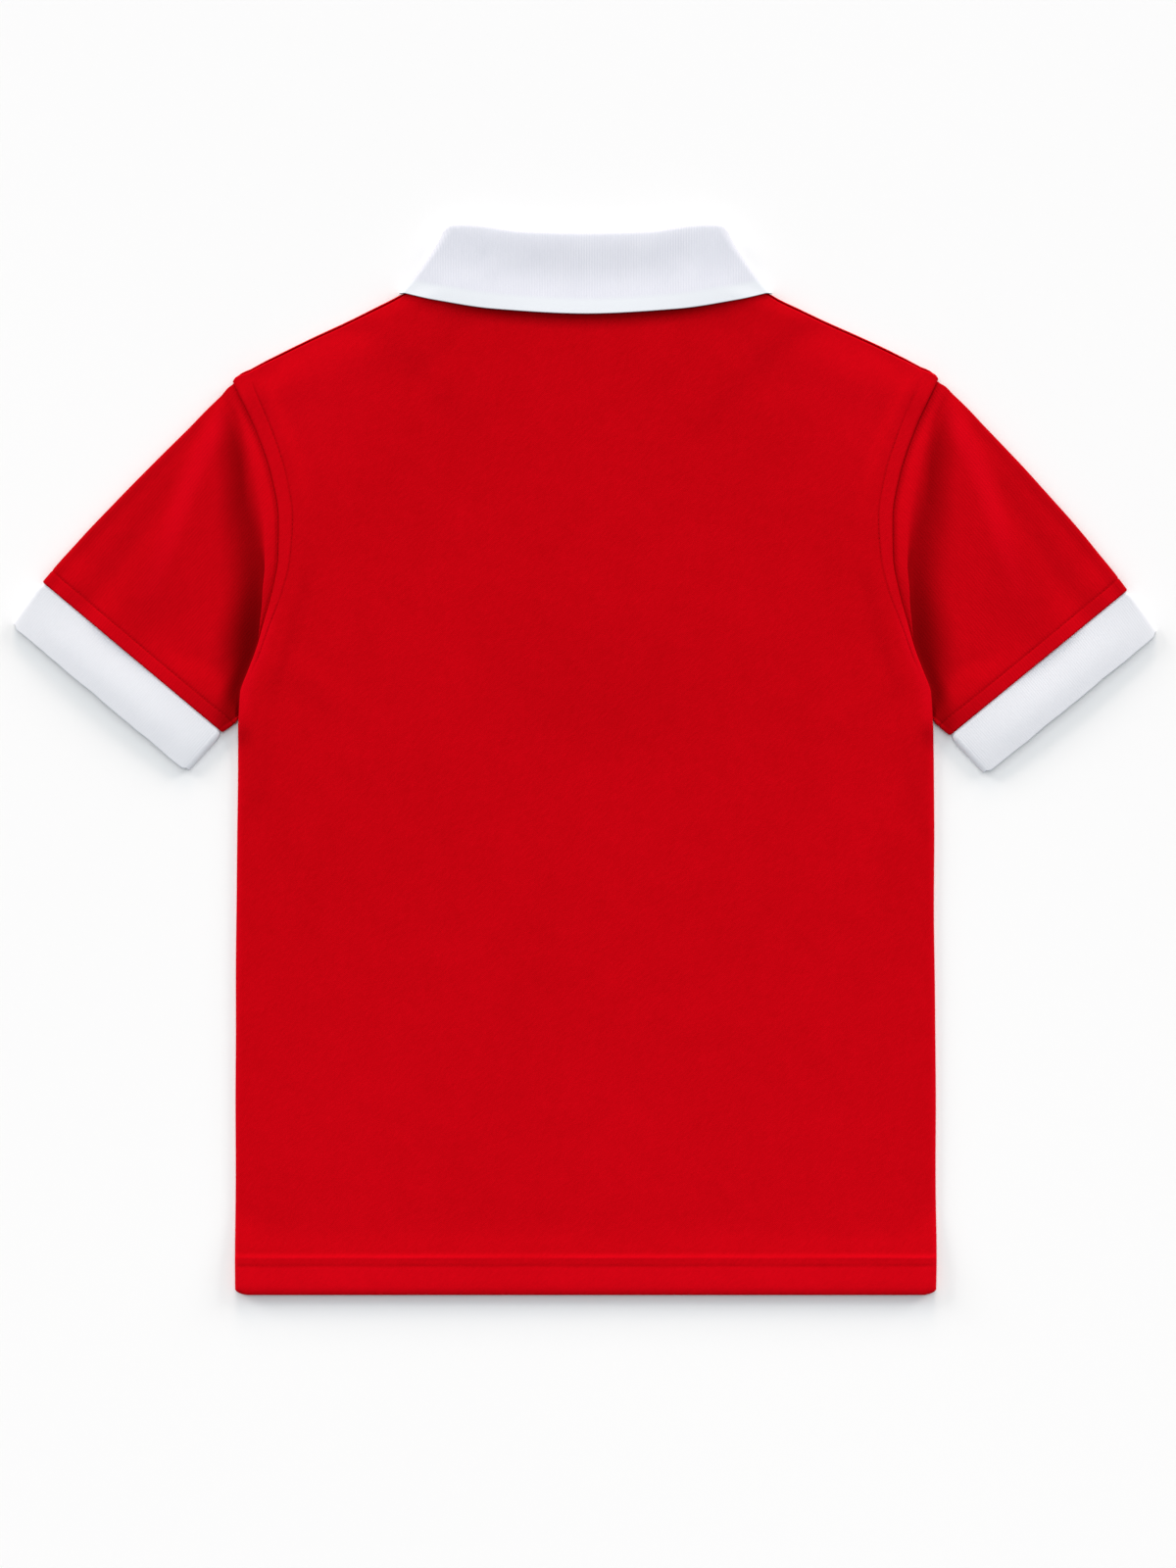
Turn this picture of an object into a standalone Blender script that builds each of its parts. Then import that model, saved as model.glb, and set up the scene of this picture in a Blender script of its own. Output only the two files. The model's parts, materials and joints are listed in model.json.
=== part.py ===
"""A child's short-sleeved polo shirt, laid flat on its front: red pique body, white rib collar and cuffs.

Metres, +Z up. The collar points to +Y, the wearer's left is -X, and Z = 0 is what the shirt lies on.
The sizes below are in millimetres; MM scales them when a point is placed.

Every piece of cloth is a grid of points on one side of its wall, extruded to the other side.
The heights of the layers come from front_level and back_level, so that each lies on what is under it.
"""

from math import cos, hypot, pi, radians, sin, sqrt

import bmesh
import bpy

MM = 0.001

# Cloth
BODY_CLOTH = 1.2
RIB_CLOTH = 1.4
SEAM_GAP = 0.3
LAYER = BODY_CLOTH + SEAM_GAP  # from one layer of body cloth to the next

# Body, seen from above
HEM_Y = -306.9
HEM_TURN_UP = 18.0
HEM_CORNER_RADIUS = 5.6
NECK_HALF = 75.0
NECK_POINT_Y = 281.8
BACK_NECK_DROP = 9.4
FRONT_NECK_DROP = 57.8
SHOULDER_TIP = (202.5, 219.5)
ROWS_STRAIGHT_UP_TO = 60.0
NECK_ANGLES = (0, 11, 27, 44, 60, 76, 90)  # grid columns round half the neckline
NECK_COLUMNS = [NECK_HALF * sin(radians(angle)) for angle in NECK_ANGLES]

# Front opening
PLACKET_HALF = NECK_COLUMNS[1] - SEAM_GAP
PLACKET_END_Y = 104.0
BUTTON_RADIUS = 5.0
BUTTON_THICK = 2.0
BUTTON_YS = {"button_top": 214.0, "button_middle": 170.0, "button_bottom": 126.0}

# Heights of the middle of the lowest wall of body cloth and of rib
FRONT_MID = BODY_CLOTH / 2
RIB_MID = RIB_CLOTH / 2
LIFT_OVER_COLLAR = RIB_CLOTH + SEAM_GAP + 0.1
LIFT_OVER_BUTTON = BUTTON_THICK + SEAM_GAP + 0.1

# Sleeve and cuff
SLEEVE_TUCK = 8.0  # seam allowance under the body
CUFF_TUCK = 6.0  # cuff inside the sleeve's end
CUFF_SEAM = ((310.6, 99.9), (207.6, 16.0))  # shoulder side, underarm side
CUFF_EDGE = ((327.8, 74.3), (229.5, -6.8))
SLEEVE_BULGE = 3.0
ARMHOLE_TOP_Y = 216.0
ARMHOLE_END_Y = 26.0
TUCKED_BOTTOM = FRONT_MID + LAYER
TUCKED_TOP = TUCKED_BOTTOM + 1.8
FREE_TOP = FRONT_MID + 2.0
CUFF_TUCKED_BOTTOM = BODY_CLOTH + SEAM_GAP + RIB_MID
CUFF_LOOP = 1.8  # from the cuff's lower wall to its upper one
CUFF_COVER_TOP = CUFF_TUCKED_BOTTOM + CUFF_LOOP + RIB_MID + SEAM_GAP + BODY_CLOTH / 2
RIBS_ON_CUFF = 92
RIB_RAISE = 0.2  # above and below the plain wall

# Collar
FOLD_RADIUS = 1.2
STAND_HALF_LOOP = 1.2
LEAF_STAND_OFF = 1.6
NECK_SEAM = 0.5  # between the collar and the front's steep neckline

RED = (0.58, 0.002, 0.008, 1.0)
WHITE = (0.80, 0.81, 0.86, 1.0)


def table(columns, rows):
    """A list of rows, each a dictionary from column name to value."""
    return [dict(zip(columns.split(), row)) for row in rows]


# The body's edge from the hem, up the side seam, round the underarm and up the armhole.
SIDE = table(
    "y half_width",
    [
        (-306.6, 200.6),
        (-286.0, 201.2),
        (-278.0, 200.6),
        (-160.0, 200.2),
        (0.0, 199.3),
        (39.0, 198.4),
        (49.5, 196.4),
        (64.0, 190.7),
        (82.0, 184.5),
        (97.0, 180.0),
        (117.0, 176.4),
        (139.5, 176.1),
        (162.6, 179.8),
        (190.0, 188.8),
        (219.5, 202.5),
    ],
)

# The shoulder seam from the neck to its tip, with its line carried on over the neck hole in the first row.
# It dips a little where the collar grips it.
SHOULDER = table(
    "x y",
    [
        (0.0, 318.0),
        (75.0, 281.8),
        (95.0, 271.4),
        (103.0, 266.9),
        (108.0, 265.6),
        (150.0, 245.6),
        (192.0, 224.6),
        (202.5, 219.5),
    ],
)

# The sleeve's long fold beside the armhole: how far from the seam it breaks, and how high it stands there.
SLEEVE_FOLD = table(
    "seam_y break_at rise",
    [
        (216.0, 16.0, 0.0),
        (195.0, 14.5, 0.3),
        (175.0, 14.5, 0.8),
        (150.0, 13.5, 1.3),
        (125.0, 10.5, 1.3),
        (110.0, 8.4, 1.2),
        (92.0, 5.0, 0.8),
        (75.0, 3.4, 0.2),
        (26.0, 3.4, 0.0),
    ],
)

# The sleeve's seam allowance: which way it points from the armhole seam, from the shoulder to the underarm.
TUCK_DIRECTION = table(
    "share dx dy",
    [(0.0, -7.0, -2.0), (0.15, -8.0, 0.0), (0.85, -8.0, 1.5), (1.0, -6.0, 5.0)],
)

# Half the collar, from the centre of the back round to the front end, as the middle of its flattened loop.
# neck_angle is the place on the neckline, turn is 0 on the back, 90 on the side crease and 180 on the front,
# and lean is how far the fold's ridge leans in from straight up the picture.
COLLAR = table(
    "at neck_angle turn fold_x fold_y lean edge_x edge_y",
    [
        (0.0, 0.0, 0, 0.0, 301.1, 0, 0.0, 256.1),
        (1.0, 27.0, 0, 35.0, 302.0, 0, 51.0, 258.8),
        (1.8, 60.0, 0, 68.5, 304.9, 0, 89.0, 264.6),
        (2.0, 76.0, 0, 76.6, 304.0, 8, 101.3, 268.7),
        (3.0, 76.0, 180, 76.6, 303.6, 30, 101.3, 268.3),
        (3.1, 76.0, 180, 70.0, 297.3, 42, 97.0, 263.0),
        (3.4, 60.0, 180, 61.0, 288.5, 46, 84.0, 247.5),
        (4.2, 44.0, 180, 46.0, 270.0, 48, 64.0, 225.5),
        (5.0, 27.0, 180, 26.0, 252.5, 36, 46.0, 206.0),
        (6.0, 0.5, 180, 1.0, 243.0, 12, 30.0, 189.5),
    ],
)

# The long soft folds of the back: where each runs, its width and its height.
BODY_FOLDS = table(
    "x0 y0 x1 y1 width height",
    [
        (112.0, 243.0, 172.0, 208.0, 13.0, -0.5),
        (62.0, 262.0, 100.0, 215.0, 12.0, -0.4),
        (95.0, 120.0, 120.0, -230.0, 26.0, -0.5),
        (30.0, 60.0, 45.0, -200.0, 24.0, 0.4),
        (150.0, 40.0, 165.0, -180.0, 16.0, 0.4),
    ],
)


class Curve:
    """A smooth curve through two columns of a table, which never overshoots them."""

    def __init__(self, rows, key, column):
        points = sorted((row[key], row[column]) for row in rows)
        self.keys = [point[0] for point in points]
        self.values = [point[1] for point in points]
        steps = [
            (self.values[i + 1] - self.values[i]) / (self.keys[i + 1] - self.keys[i])
            for i in range(len(points) - 1)
        ]
        inner = [
            2 * a * b / (a + b) if a * b > 0 else 0.0 for a, b in zip(steps, steps[1:])
        ]
        self.slopes = [steps[0], *inner, steps[-1]]

    def __call__(self, at):
        at = min(max(at, self.keys[0]), self.keys[-1])
        i = max(j for j in range(len(self.keys) - 1) if self.keys[j] <= at)
        span = self.keys[i + 1] - self.keys[i]
        t = (at - self.keys[i]) / span
        return (
            (1 + 2 * t) * (1 - t) ** 2 * self.values[i]
            + t * (1 - t) ** 2 * span * self.slopes[i]
            + t * t * (3 - 2 * t) * self.values[i + 1]
            - t * t * (1 - t) * span * self.slopes[i + 1]
        )


half_width = Curve(SIDE, "y", "half_width")
shoulder_y = Curve(SHOULDER, "x", "y")
fold_break = Curve(SLEEVE_FOLD, "seam_y", "break_at")
fold_rise = Curve(SLEEVE_FOLD, "seam_y", "rise")
tuck_dx = Curve(TUCK_DIRECTION, "share", "dx")
tuck_dy = Curve(TUCK_DIRECTION, "share", "dy")
collar_columns = {
    column: Curve(COLLAR, "at", column) for column in COLLAR[0] if column != "at"
}


def lerp(a, b, share):
    return a + (b - a) * share


def ramp(value, start, end):
    """0 before start, 1 after end, and smooth between."""
    t = min(max((value - start) / (end - start), 0.0), 1.0)
    return t * t * (3 - 2 * t)


def unit(x, y):
    return x / hypot(x, y), y / hypot(x, y)


def highest(*heights):
    """A maximum with its corners rounded off."""
    return sum(max(h, 0.0) ** 6 for h in heights) ** (1 / 6)


def from_line(x, y, x0, y0, x1, y1):
    """Distance of a point from the straight line through two others, positive on its right."""
    dx, dy = x1 - x0, y1 - y0
    return ((x - x0) * dy - (y - y0) * dx) / hypot(dx, dy)


def back_neck_y(x):
    return NECK_POINT_Y - BACK_NECK_DROP * (1 - (x / NECK_HALF) ** 2)


def front_neck_y(x):
    return NECK_POINT_Y - FRONT_NECK_DROP * sqrt(max(1 - (x / NECK_HALF) ** 2, 0.0))


def beyond_front_leaf(x, y):
    """How far a point of the front lies outside the collar leaf that is under it; negative inside."""
    end, corner = COLLAR[-1], COLLAR[4]
    outer = from_line(
        abs(x), y, end["edge_x"], end["edge_y"], corner["edge_x"], corner["edge_y"]
    )
    centre = from_line(
        abs(x), y, end["fold_x"], end["fold_y"], end["edge_x"], end["edge_y"]
    )
    return max(outer, centre)


def soft_folds(x, y):
    """The sum of the long folds at a point."""
    total = 0.0
    for fold in BODY_FOLDS:
        dx, dy = fold["x1"] - fold["x0"], fold["y1"] - fold["y0"]
        length = hypot(dx, dy)
        along = ((abs(x) - fold["x0"]) * dx + (y - fold["y0"]) * dy) / length
        across = from_line(abs(x), y, fold["x0"], fold["y0"], fold["x1"], fold["y1"])
        ends = ramp(along, 0, 0.35 * length) * (1 - ramp(along, 0.65 * length, length))
        total += fold["height"] * ends * (1 - ramp(abs(across), 0, fold["width"]))
    return total


def front_level(x, y):
    """Middle of the front's wall: on the surface, and up over the collar leaf and the buttons under it."""
    over_leaf = LIFT_OVER_COLLAR * (1 - ramp(beyond_front_leaf(x, y), 14, 34))
    over_buttons = LIFT_OVER_BUTTON * (1 - ramp(abs(x), 16, 42))
    over_buttons *= ramp(y, PLACKET_END_Y - 26, PLACKET_END_Y - 2)
    return FRONT_MID + highest(over_leaf, over_buttons)


def back_level(x, y):
    """Middle of the back's wall: on the front at the seams, and up over sleeves, hems, placket and collar."""
    side = half_width(y) - abs(x)
    shoulder = (shoulder_y(abs(x)) - y) * 0.9
    edge = min(side, shoulder, y - HEM_Y)
    neck_point = hypot(abs(x) - NECK_HALF, y - NECK_POINT_Y)
    air = 1.5 * ramp(edge, 0, 22)
    sleeve = (TUCKED_TOP - FRONT_MID) * (1 - ramp(side, 12.5, 28)) * ramp(y, 8, 21)
    hems = 2 * LAYER * (1 - ramp(y - HEM_Y, HEM_TURN_UP + 3, HEM_TURN_UP + 15))
    spread = max(ramp(shoulder, 0, 8), 1 - ramp(neck_point, 8, 22))
    collar = (LIFT_OVER_COLLAR + 0.8 * spread) * (1 - ramp(beyond_front_leaf(x, y), 16, 42))
    placket = (LIFT_OVER_BUTTON + LAYER + 0.1) * (1 - ramp(abs(x), 24, 64))
    placket *= ramp(y, 60, 92) * (1 - 0.33 * ramp(y, 238, 275))
    return FRONT_MID + LAYER + highest(air, sleeve, hems, collar, placket) + soft_folds(x, y)


def finish_mesh(name, mesh, colour, roughness=0.9):
    """The bmesh as a named object with its own material, smooth but for its rims."""
    data = bpy.data.meshes.new(name)
    mesh.to_mesh(data)
    mesh.free()
    data.shade_smooth()
    data.set_sharp_from_angle(angle=radians(50))
    piece = bpy.data.objects.new(name, data)
    shirt.objects.link(piece)
    material = bpy.data.materials.new(name)
    material.use_nodes = True
    shader = material.node_tree.nodes["Principled BSDF"]
    shader.inputs["Base Color"].default_value = colour
    shader.inputs["Roughness"].default_value = roughness
    shader.inputs["Metallic"].default_value = 0.0
    data.materials.append(material)
    return piece


def cloth(name, columns, rows, place, thickness, colour, keep=None):
    """A wall of cloth. place(column, row, out) gives a point out from the middle of the wall, and keep()
    refuses the faces to leave out. Columns that place() puts in one spot are joined, so a tube closes."""
    across, up = len(columns) - 1, len(rows) - 1
    mesh = bmesh.new()
    column_of = mesh.verts.layers.int.new("column")
    row_of = mesh.verts.layers.int.new("row")
    bmesh.ops.create_grid(mesh, x_segments=across, y_segments=up, size=1)
    for vert in mesh.verts:
        vert[column_of] = round((vert.co.x + 1) / 2 * across)
        vert[row_of] = round((vert.co.y + 1) / 2 * up)
    if keep:
        unwanted = [
            face
            for face in mesh.faces
            if not keep(
                [columns[vert[column_of]] for vert in face.verts],
                [rows[vert[row_of]] for vert in face.verts],
            )
        ]
        bmesh.ops.delete(mesh, geom=unwanted, context="FACES")

    def move(verts, out):
        for vert in verts:
            point = place(columns[vert[column_of]], rows[vert[row_of]], out)
            vert.co = [size * MM for size in point]
        bmesh.ops.remove_doubles(mesh, verts=verts, dist=1e-6)

    move(mesh.verts[:], thickness / 2)
    wall = bmesh.ops.extrude_face_region(mesh, geom=mesh.faces[:])
    move([item for item in wall["geom"] if isinstance(item, bmesh.types.BMVert)], -thickness / 2)
    bmesh.ops.recalc_face_normals(mesh, faces=mesh.faces)
    return finish_mesh(name, mesh, colour)


# Body panels

PANEL_COLUMNS = NECK_COLUMNS + [86, 101, 126, 156, 179, 192, SHOULDER_TIP[0]]
PANEL_ROWS = [-288.5, -281, -273, -235, -150, -60, 2, 13, 26, 40, 50, 62, 78, 91, PLACKET_END_Y]
PANEL_ROWS += [120, 140, 163, 185, 203, 213, SHOULDER_TIP[1]]
HEM_ARC_STEPS = 3


def hem_rows():
    """Rows from the inside edge of the turned-up hem, round its fold and up the panel: (kind, value)."""
    turned_up = [("inside", HEM_Y + HEM_TURN_UP), ("inside", HEM_Y + HEM_TURN_UP / 2)]
    arc = [("arc", pi * step / HEM_ARC_STEPS) for step in range(HEM_ARC_STEPS, -1, -1)]
    return turned_up + arc + [("main", y) for y in PANEL_ROWS]


def body_panel(name, neck_y, level, inwards, keep=None):
    """The front or back: inwards is 1 where the hem turns up above the panel and -1 where below."""
    fold_radius = LAYER / 2
    fold_y = HEM_Y + fold_radius + BODY_CLOTH / 2

    def plan(top_x, row_y):
        """Where the grid's point lies: columns run straight under the neck and spread to the side beyond it."""
        sign, top_x = (1, -1)[top_x < 0], abs(top_x)
        out = max(top_x - NECK_HALF, 0) / (SHOULDER_TIP[0] - NECK_HALF)
        x = min(top_x, NECK_HALF) + out * (half_width(row_y) - NECK_HALF)
        top_y = (neck_y(top_x) if top_x < NECK_HALF else shoulder_y(top_x)) - SEAM_GAP / 2
        bend = max(row_y - ROWS_STRAIGHT_UP_TO, 0) / (SHOULDER_TIP[1] - ROWS_STRAIGHT_UP_TO)
        return sign * x, row_y + (top_y - SHOULDER_TIP[1]) * bend**2

    def corner_lift(x):
        """How far the hem's fold rises in its rounded corner."""
        into = max(abs(x) - half_width(HEM_Y) + HEM_CORNER_RADIUS, 0)
        return HEM_CORNER_RADIUS - sqrt(max(HEM_CORNER_RADIUS**2 - 0.8 * into**2, 0))

    def place(top_x, row, out):
        kind, value = row
        outwards = -inwards * out
        if kind == "main":
            x, y = plan(top_x, value)
            return x, y, level(x, y) + outwards
        if kind == "inside":
            x, y = plan(top_x, value)
            return x, y, level(x, y) + inwards * LAYER - outwards
        reach = fold_radius + out
        x, y = plan(top_x, fold_y)
        z = level(x, fold_y) + inwards * (fold_radius - reach * cos(value))
        return x, y - reach * sin(value) + corner_lift(x), z

    columns = [-x for x in reversed(PANEL_COLUMNS[1:])] + PANEL_COLUMNS
    return cloth(name, columns, hem_rows(), place, BODY_CLOTH, RED, keep)


def outside_placket_slot(top_xs, rows):
    """Keeps the front's faces but those in the slot that the placket fills."""
    in_width = max(abs(x) for x in top_xs) < NECK_COLUMNS[1] + 0.1
    above_end = min(y if kind == "main" else HEM_Y for kind, y in rows) > PLACKET_END_Y - 0.1
    return not (in_width and above_end)


def placket_strip(name, raised):
    """One of the two strips that close the front opening, one on the other."""
    columns = [-PLACKET_HALF, 0, PLACKET_HALF]
    bottom_y = PLACKET_END_Y + 4 * SEAM_GAP
    rows = [0, 0.2, 0.4, 0.6, 0.8, 0.9, 1.0]

    def place(x, share, out):
        y = lerp(bottom_y, front_neck_y(x) - 2 * SEAM_GAP, share)
        return x, y, front_level(x, y) + raised - out

    return cloth(name, columns, rows, place, BODY_CLOTH, RED)


# Sleeves and cuffs: flattened tubes

TUBE_SIDE_STEPS = 4


def loop_columns(shares, upper_shares=None):
    """Round a flattened tube: up the top wall by share, round one edge, back along the bottom, round the other."""
    upper_shares = upper_shares or shares
    turn = [step / TUBE_SIDE_STEPS for step in range(1, TUBE_SIDE_STEPS)]
    top = [("top", share) for share in upper_shares]
    under = [("edge1", t) for t in turn]
    bottom = [("bottom", share) for share in reversed(shares)]
    shoulder = [("edge0", 1 - t) for t in turn]
    return top + under + bottom + shoulder + [("top", upper_shares[0])]


def tube_point(column, centre, outwards0, outwards1, low, high, out):
    """A point of a flattened tube, whose walls' middles lie at low(share) and high(share)."""
    kind, value = column
    if kind == "top":
        return *centre(value), high(value) + out
    if kind == "bottom":
        return *centre(value), low(value) - out
    share, outwards = (1.0, outwards1) if kind == "edge1" else (0.0, outwards0)
    x, y = centre(share)
    radius = (high(share) - low(share)) / 2 + out
    reach = radius * sin(pi * value)
    z = (high(share) + low(share)) / 2 + radius * cos(pi * value)
    return x + outwards[0] * reach, y + outwards[1] * reach, z


def along(share, ends, inset):
    """A point between two corners, each drawn in by inset."""
    (x0, y0), (x1, y1) = ends
    length = hypot(x1 - x0, y1 - y0)
    at = lerp(inset / length, 1 - inset / length, share)
    return lerp(x0, x1, at), lerp(y0, y1, at)


ACROSS_CUFF = unit(CUFF_SEAM[1][0] - CUFF_SEAM[0][0], CUFF_SEAM[1][1] - CUFF_SEAM[0][1])
BACK_ACROSS_CUFF = (-ACROSS_CUFF[0], -ACROSS_CUFF[1])
COVER_HALF_LOOP = (CUFF_COVER_TOP - FRONT_MID) / 2
DOWN_SLEEVE = unit(CUFF_SEAM[0][0] - SHOULDER_TIP[0], CUFF_SEAM[0][1] - ARMHOLE_TOP_Y)
OFF_SHOULDER_EDGE = (-DOWN_SLEEVE[1], DOWN_SLEEVE[0])
OFF_SHOULDER_TUCK = (-0.27, 0.96)
OFF_UNDERARM_EDGE = (-0.70, -0.71)

SLEEVE_SHARES = [0, 0.07, 0.17, 0.30, 0.43, 0.56, 0.68, 0.77, 0.85, 0.93, 1.0]
# Stations down the sleeve: measured from the armhole seam, from the fold's break, or back from the cuff seam.
SLEEVE_STATIONS = [
    ("armhole", -SLEEVE_TUCK),
    ("armhole", 0.0),
    ("armhole", 1.2),
    ("armhole", 5.0),
    ("break", 0.0),
    ("break", 2.5),
    ("break", 6.0),
    ("between", 0.5),
    ("cuff", 24.0),
    ("cuff", 17.0),
    ("cuff", 9.0),
    ("cuff", 0.0),
]


def sleeve(name, sign):
    """A sleeve, tucked under the body at the armhole, with its long fold and the cover over the cuff."""

    def armhole(share):
        y = lerp(ARMHOLE_TOP_Y, ARMHOLE_END_Y, share)
        return half_width(y), y

    def cuff_end(share):
        return along(share, CUFF_SEAM, COVER_HALF_LOOP + BODY_CLOTH / 2)

    def reach(share):
        (x0, y0), (x1, y1) = armhole(share), cuff_end(share)
        return hypot(x1 - x0, y1 - y0)

    def distance(share, station):
        """How far down the sleeve the station lies, kept in order where the sleeve is short."""
        kind, value = station
        length, breaks = reach(share), fold_break(armhole(share)[1])
        near = min(1.0, length / 60)
        if kind == "armhole":
            return value if value <= 0 else value * near
        if kind == "break":
            return (breaks + value + 2.5) * near
        if kind == "cuff":
            return length - value * near
        return lerp((breaks + 8.5) * near, length - 24 * near, value)

    def place(column, station, out):
        kind, value = column
        share = {"edge0": 0.0, "edge1": 1.0}.get(kind, value)
        down = distance(share, station)
        left = reach(share) - down

        def centre(at):
            (x0, y0), (x1, y1), length = armhole(at), cuff_end(at), reach(at)
            if down < 0:
                back = -down / SLEEVE_TUCK
                return x0 + tuck_dx(at) * back, y0 + tuck_dy(at) * back
            bulge = SLEEVE_BULGE * 4 * (down / length) * (1 - down / length) * (1 - at)
            x, y = lerp(x0, x1, down / length), lerp(y0, y1, down / length)
            return x + bulge * 0.7, y + bulge * 0.7

        def low(at):
            return FRONT_MID + LAYER * (1 - ramp(down, 1.2, 5.0))

        def high(at):
            seam_y = armhole(at)[1]
            breaks = fold_break(seam_y) + 2.5
            strip = TUCKED_TOP - FREE_TOP + fold_rise(seam_y) * ramp(down, 0, 4)
            fold = strip * (1 - ramp(down, breaks - 0.5, breaks + 5.5))
            cover = (CUFF_COVER_TOP - FREE_TOP) * (1 - ramp(left, 9, 23))
            if down < 3.0:
                cover *= ramp(down, 0, 3.0)
            return FREE_TOP + highest(fold, cover)

        off_tuck, off_cuff = 1 - ramp(down, -SLEEVE_TUCK, 8), 1 - ramp(left, 0, 20)
        off0 = [lerp(a, b, off_tuck) for a, b in zip(OFF_SHOULDER_EDGE, OFF_SHOULDER_TUCK)]
        off0 = [lerp(a, b, off_cuff) for a, b in zip(off0, BACK_ACROSS_CUFF)]
        off1 = [lerp(a, b, off_cuff) for a, b in zip(OFF_UNDERARM_EDGE, ACROSS_CUFF)]
        x, y, z = tube_point(column, centre, unit(*off0), unit(*off1), low, high, out)
        return sign * x, y, z

    return cloth(name, loop_columns(SLEEVE_SHARES), SLEEVE_STATIONS, place, BODY_CLOTH, RED)


CUFF_SHARES = [0, 0.04, 0.16, 0.33, 0.5, 0.67, 0.84, 0.96, 1.0]
CUFF_STATIONS = [-CUFF_TUCK, 0.5, 4.2, 8.0, 28.8, 30.6]
CUFF_DROP = (0.5, 8.0)


def cuff(name, sign):
    """A rib cuff: its first stretch is inside the sleeve's end, and from there it drops to the surface.
    Its ribs are raised in the outer points of the upper wall alone, which is plain at its two ends."""
    inset = CUFF_LOOP / 2 + RIB_MID
    seam_inset = COVER_HALF_LOOP + BODY_CLOTH / 2
    rib_shares = [number / (2 * RIBS_ON_CUFF) for number in range(2 * RIBS_ON_CUFF + 1)]

    def place(column, down, out):
        kind, value = column
        ribbed = out > 0 and 0 < down < 30
        if kind == "top" and not ribbed:
            value = min(CUFF_SHARES, key=lambda share: abs(share - value))
        at_end = 1.2 if down > 30 else 0.0

        def centre(at):
            x0, y0 = along(at, CUFF_SEAM, seam_inset)
            if down < 0:
                return x0 + DOWN_SLEEVE[0] * down, y0 + DOWN_SLEEVE[1] * down
            x1, y1 = along(at, CUFF_EDGE, inset + at_end)
            share = down / hypot(x1 - x0, y1 - y0)
            return lerp(x0, x1, share), lerp(y0, y1, share)

        fall = (CUFF_TUCKED_BOTTOM - RIB_MID) * ramp(down, *CUFF_DROP)

        def low(at):
            return CUFF_TUCKED_BOTTOM - fall

        def high(at):
            return CUFF_TUCKED_BOTTOM + CUFF_LOOP - fall

        x, y, z = tube_point(
            (kind, value), centre, BACK_ACROSS_CUFF, ACROSS_CUFF, low, high, out
        )
        if kind == "top" and ribbed and down > 1 and 0 < value < 1:
            is_ridge = round(value * 2 * RIBS_ON_CUFF) % 2
            z += RIB_RAISE * (1 if is_ridge else -1)
        return sign * x, y, z

    columns = loop_columns(CUFF_SHARES, rib_shares)
    return cloth(name, columns, CUFF_STATIONS, place, RIB_CLOTH, WHITE)


# Collar

COLLAR_ATS = [0, 0.4, 1.0, 1.4, 1.8, 2.0, 2.17, 2.34, 2.5, 2.66, 2.83, 3.0, 3.1, 3.4, 4.2, 5.0, 5.5, 6.0]
COLLAR_ROWS = [("stand", share) for share in (0, 0.45, 0.85)]
COLLAR_ROWS += [("fold", radians(angle)) for angle in (0, 36, 72, 108, 144, 180)]
COLLAR_ROWS += [("leaf", share) for share in (0.12, 0.3, 0.55, 0.8, 1.0)]
LEAF_FLARE = 1.25
FOLD_STAND_TOP = FRONT_MID + LIFT_OVER_COLLAR + 0.7 + 2 * STAND_HALF_LOOP


def collar():
    """The flat-knit collar, flattened: a loop open at the front, folded over at its top, leaf outside stand."""
    stand_bottom = FOLD_STAND_TOP - 2 * STAND_HALF_LOOP
    leaf_top_at_fold = FOLD_STAND_TOP + 2 * FOLD_RADIUS

    def place(signed_at, row, out):
        sign, at = (1, -1)[signed_at < 0], abs(signed_at)
        station = {column: curve(at) for column, curve in collar_columns.items()}
        turn = radians(180 * min(max(at - 2.0, 0.0), 1.0))
        lean = radians(station["lean"])
        kind, value = row
        angle = radians(station["neck_angle"])
        neck_x = (NECK_HALF - NECK_SEAM) * sin(angle)
        back_y = back_neck_y(neck_x) + SEAM_GAP * (1 + 2 * sin(turn))
        front_y = NECK_POINT_Y - (FRONT_NECK_DROP - NECK_SEAM) * cos(angle)
        neck_y = lerp(back_y, front_y, ramp(at, 3.0, 3.1))
        fold_x, fold_y = station["fold_x"], station["fold_y"]
        lift = 0.0
        if kind == "stand":
            x, y = lerp(neck_x, fold_x, value), lerp(neck_y, fold_y, value)
            top = lerp(back_level(neck_x, neck_y), FOLD_STAND_TOP, value) + out
            bottom = lerp(front_level(neck_x, neck_y), stand_bottom, value) - out
        elif kind == "fold":
            x, y = fold_x, fold_y
            reach = FOLD_RADIUS - (FOLD_RADIUS - out) * cos(value)
            top, bottom = FOLD_STAND_TOP + reach, stand_bottom - reach
            lift = (FOLD_RADIUS - out) * sin(value)
        else:
            x = fold_x + (station["edge_x"] - fold_x) * value**LEAF_FLARE
            y = lerp(fold_y, station["edge_y"], value)
            on_back = back_level(x, y) + BODY_CLOTH / 2 + SEAM_GAP + RIB_MID
            centre = 1 - ramp(abs(x), 70, 100)
            stand_off = LEAF_STAND_OFF * centre * ramp(value, 0.3, 1.0)
            top = lerp(leaf_top_at_fold, on_back + stand_off, ramp(value, 0.0, 0.7))
            top, bottom = max(top, on_back) - out, RIB_MID + out
        middle, radius = (top + bottom) / 2, (top - bottom) / 2
        x += sin(turn) * radius - sin(lean) * lift
        return sign * x, y + cos(lean) * lift, middle + cos(turn) * radius

    ats = [-at for at in reversed(COLLAR_ATS[1:])] + COLLAR_ATS
    return cloth("collar", ats, COLLAR_ROWS, place, RIB_CLOTH, WHITE)


# Buttons

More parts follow.
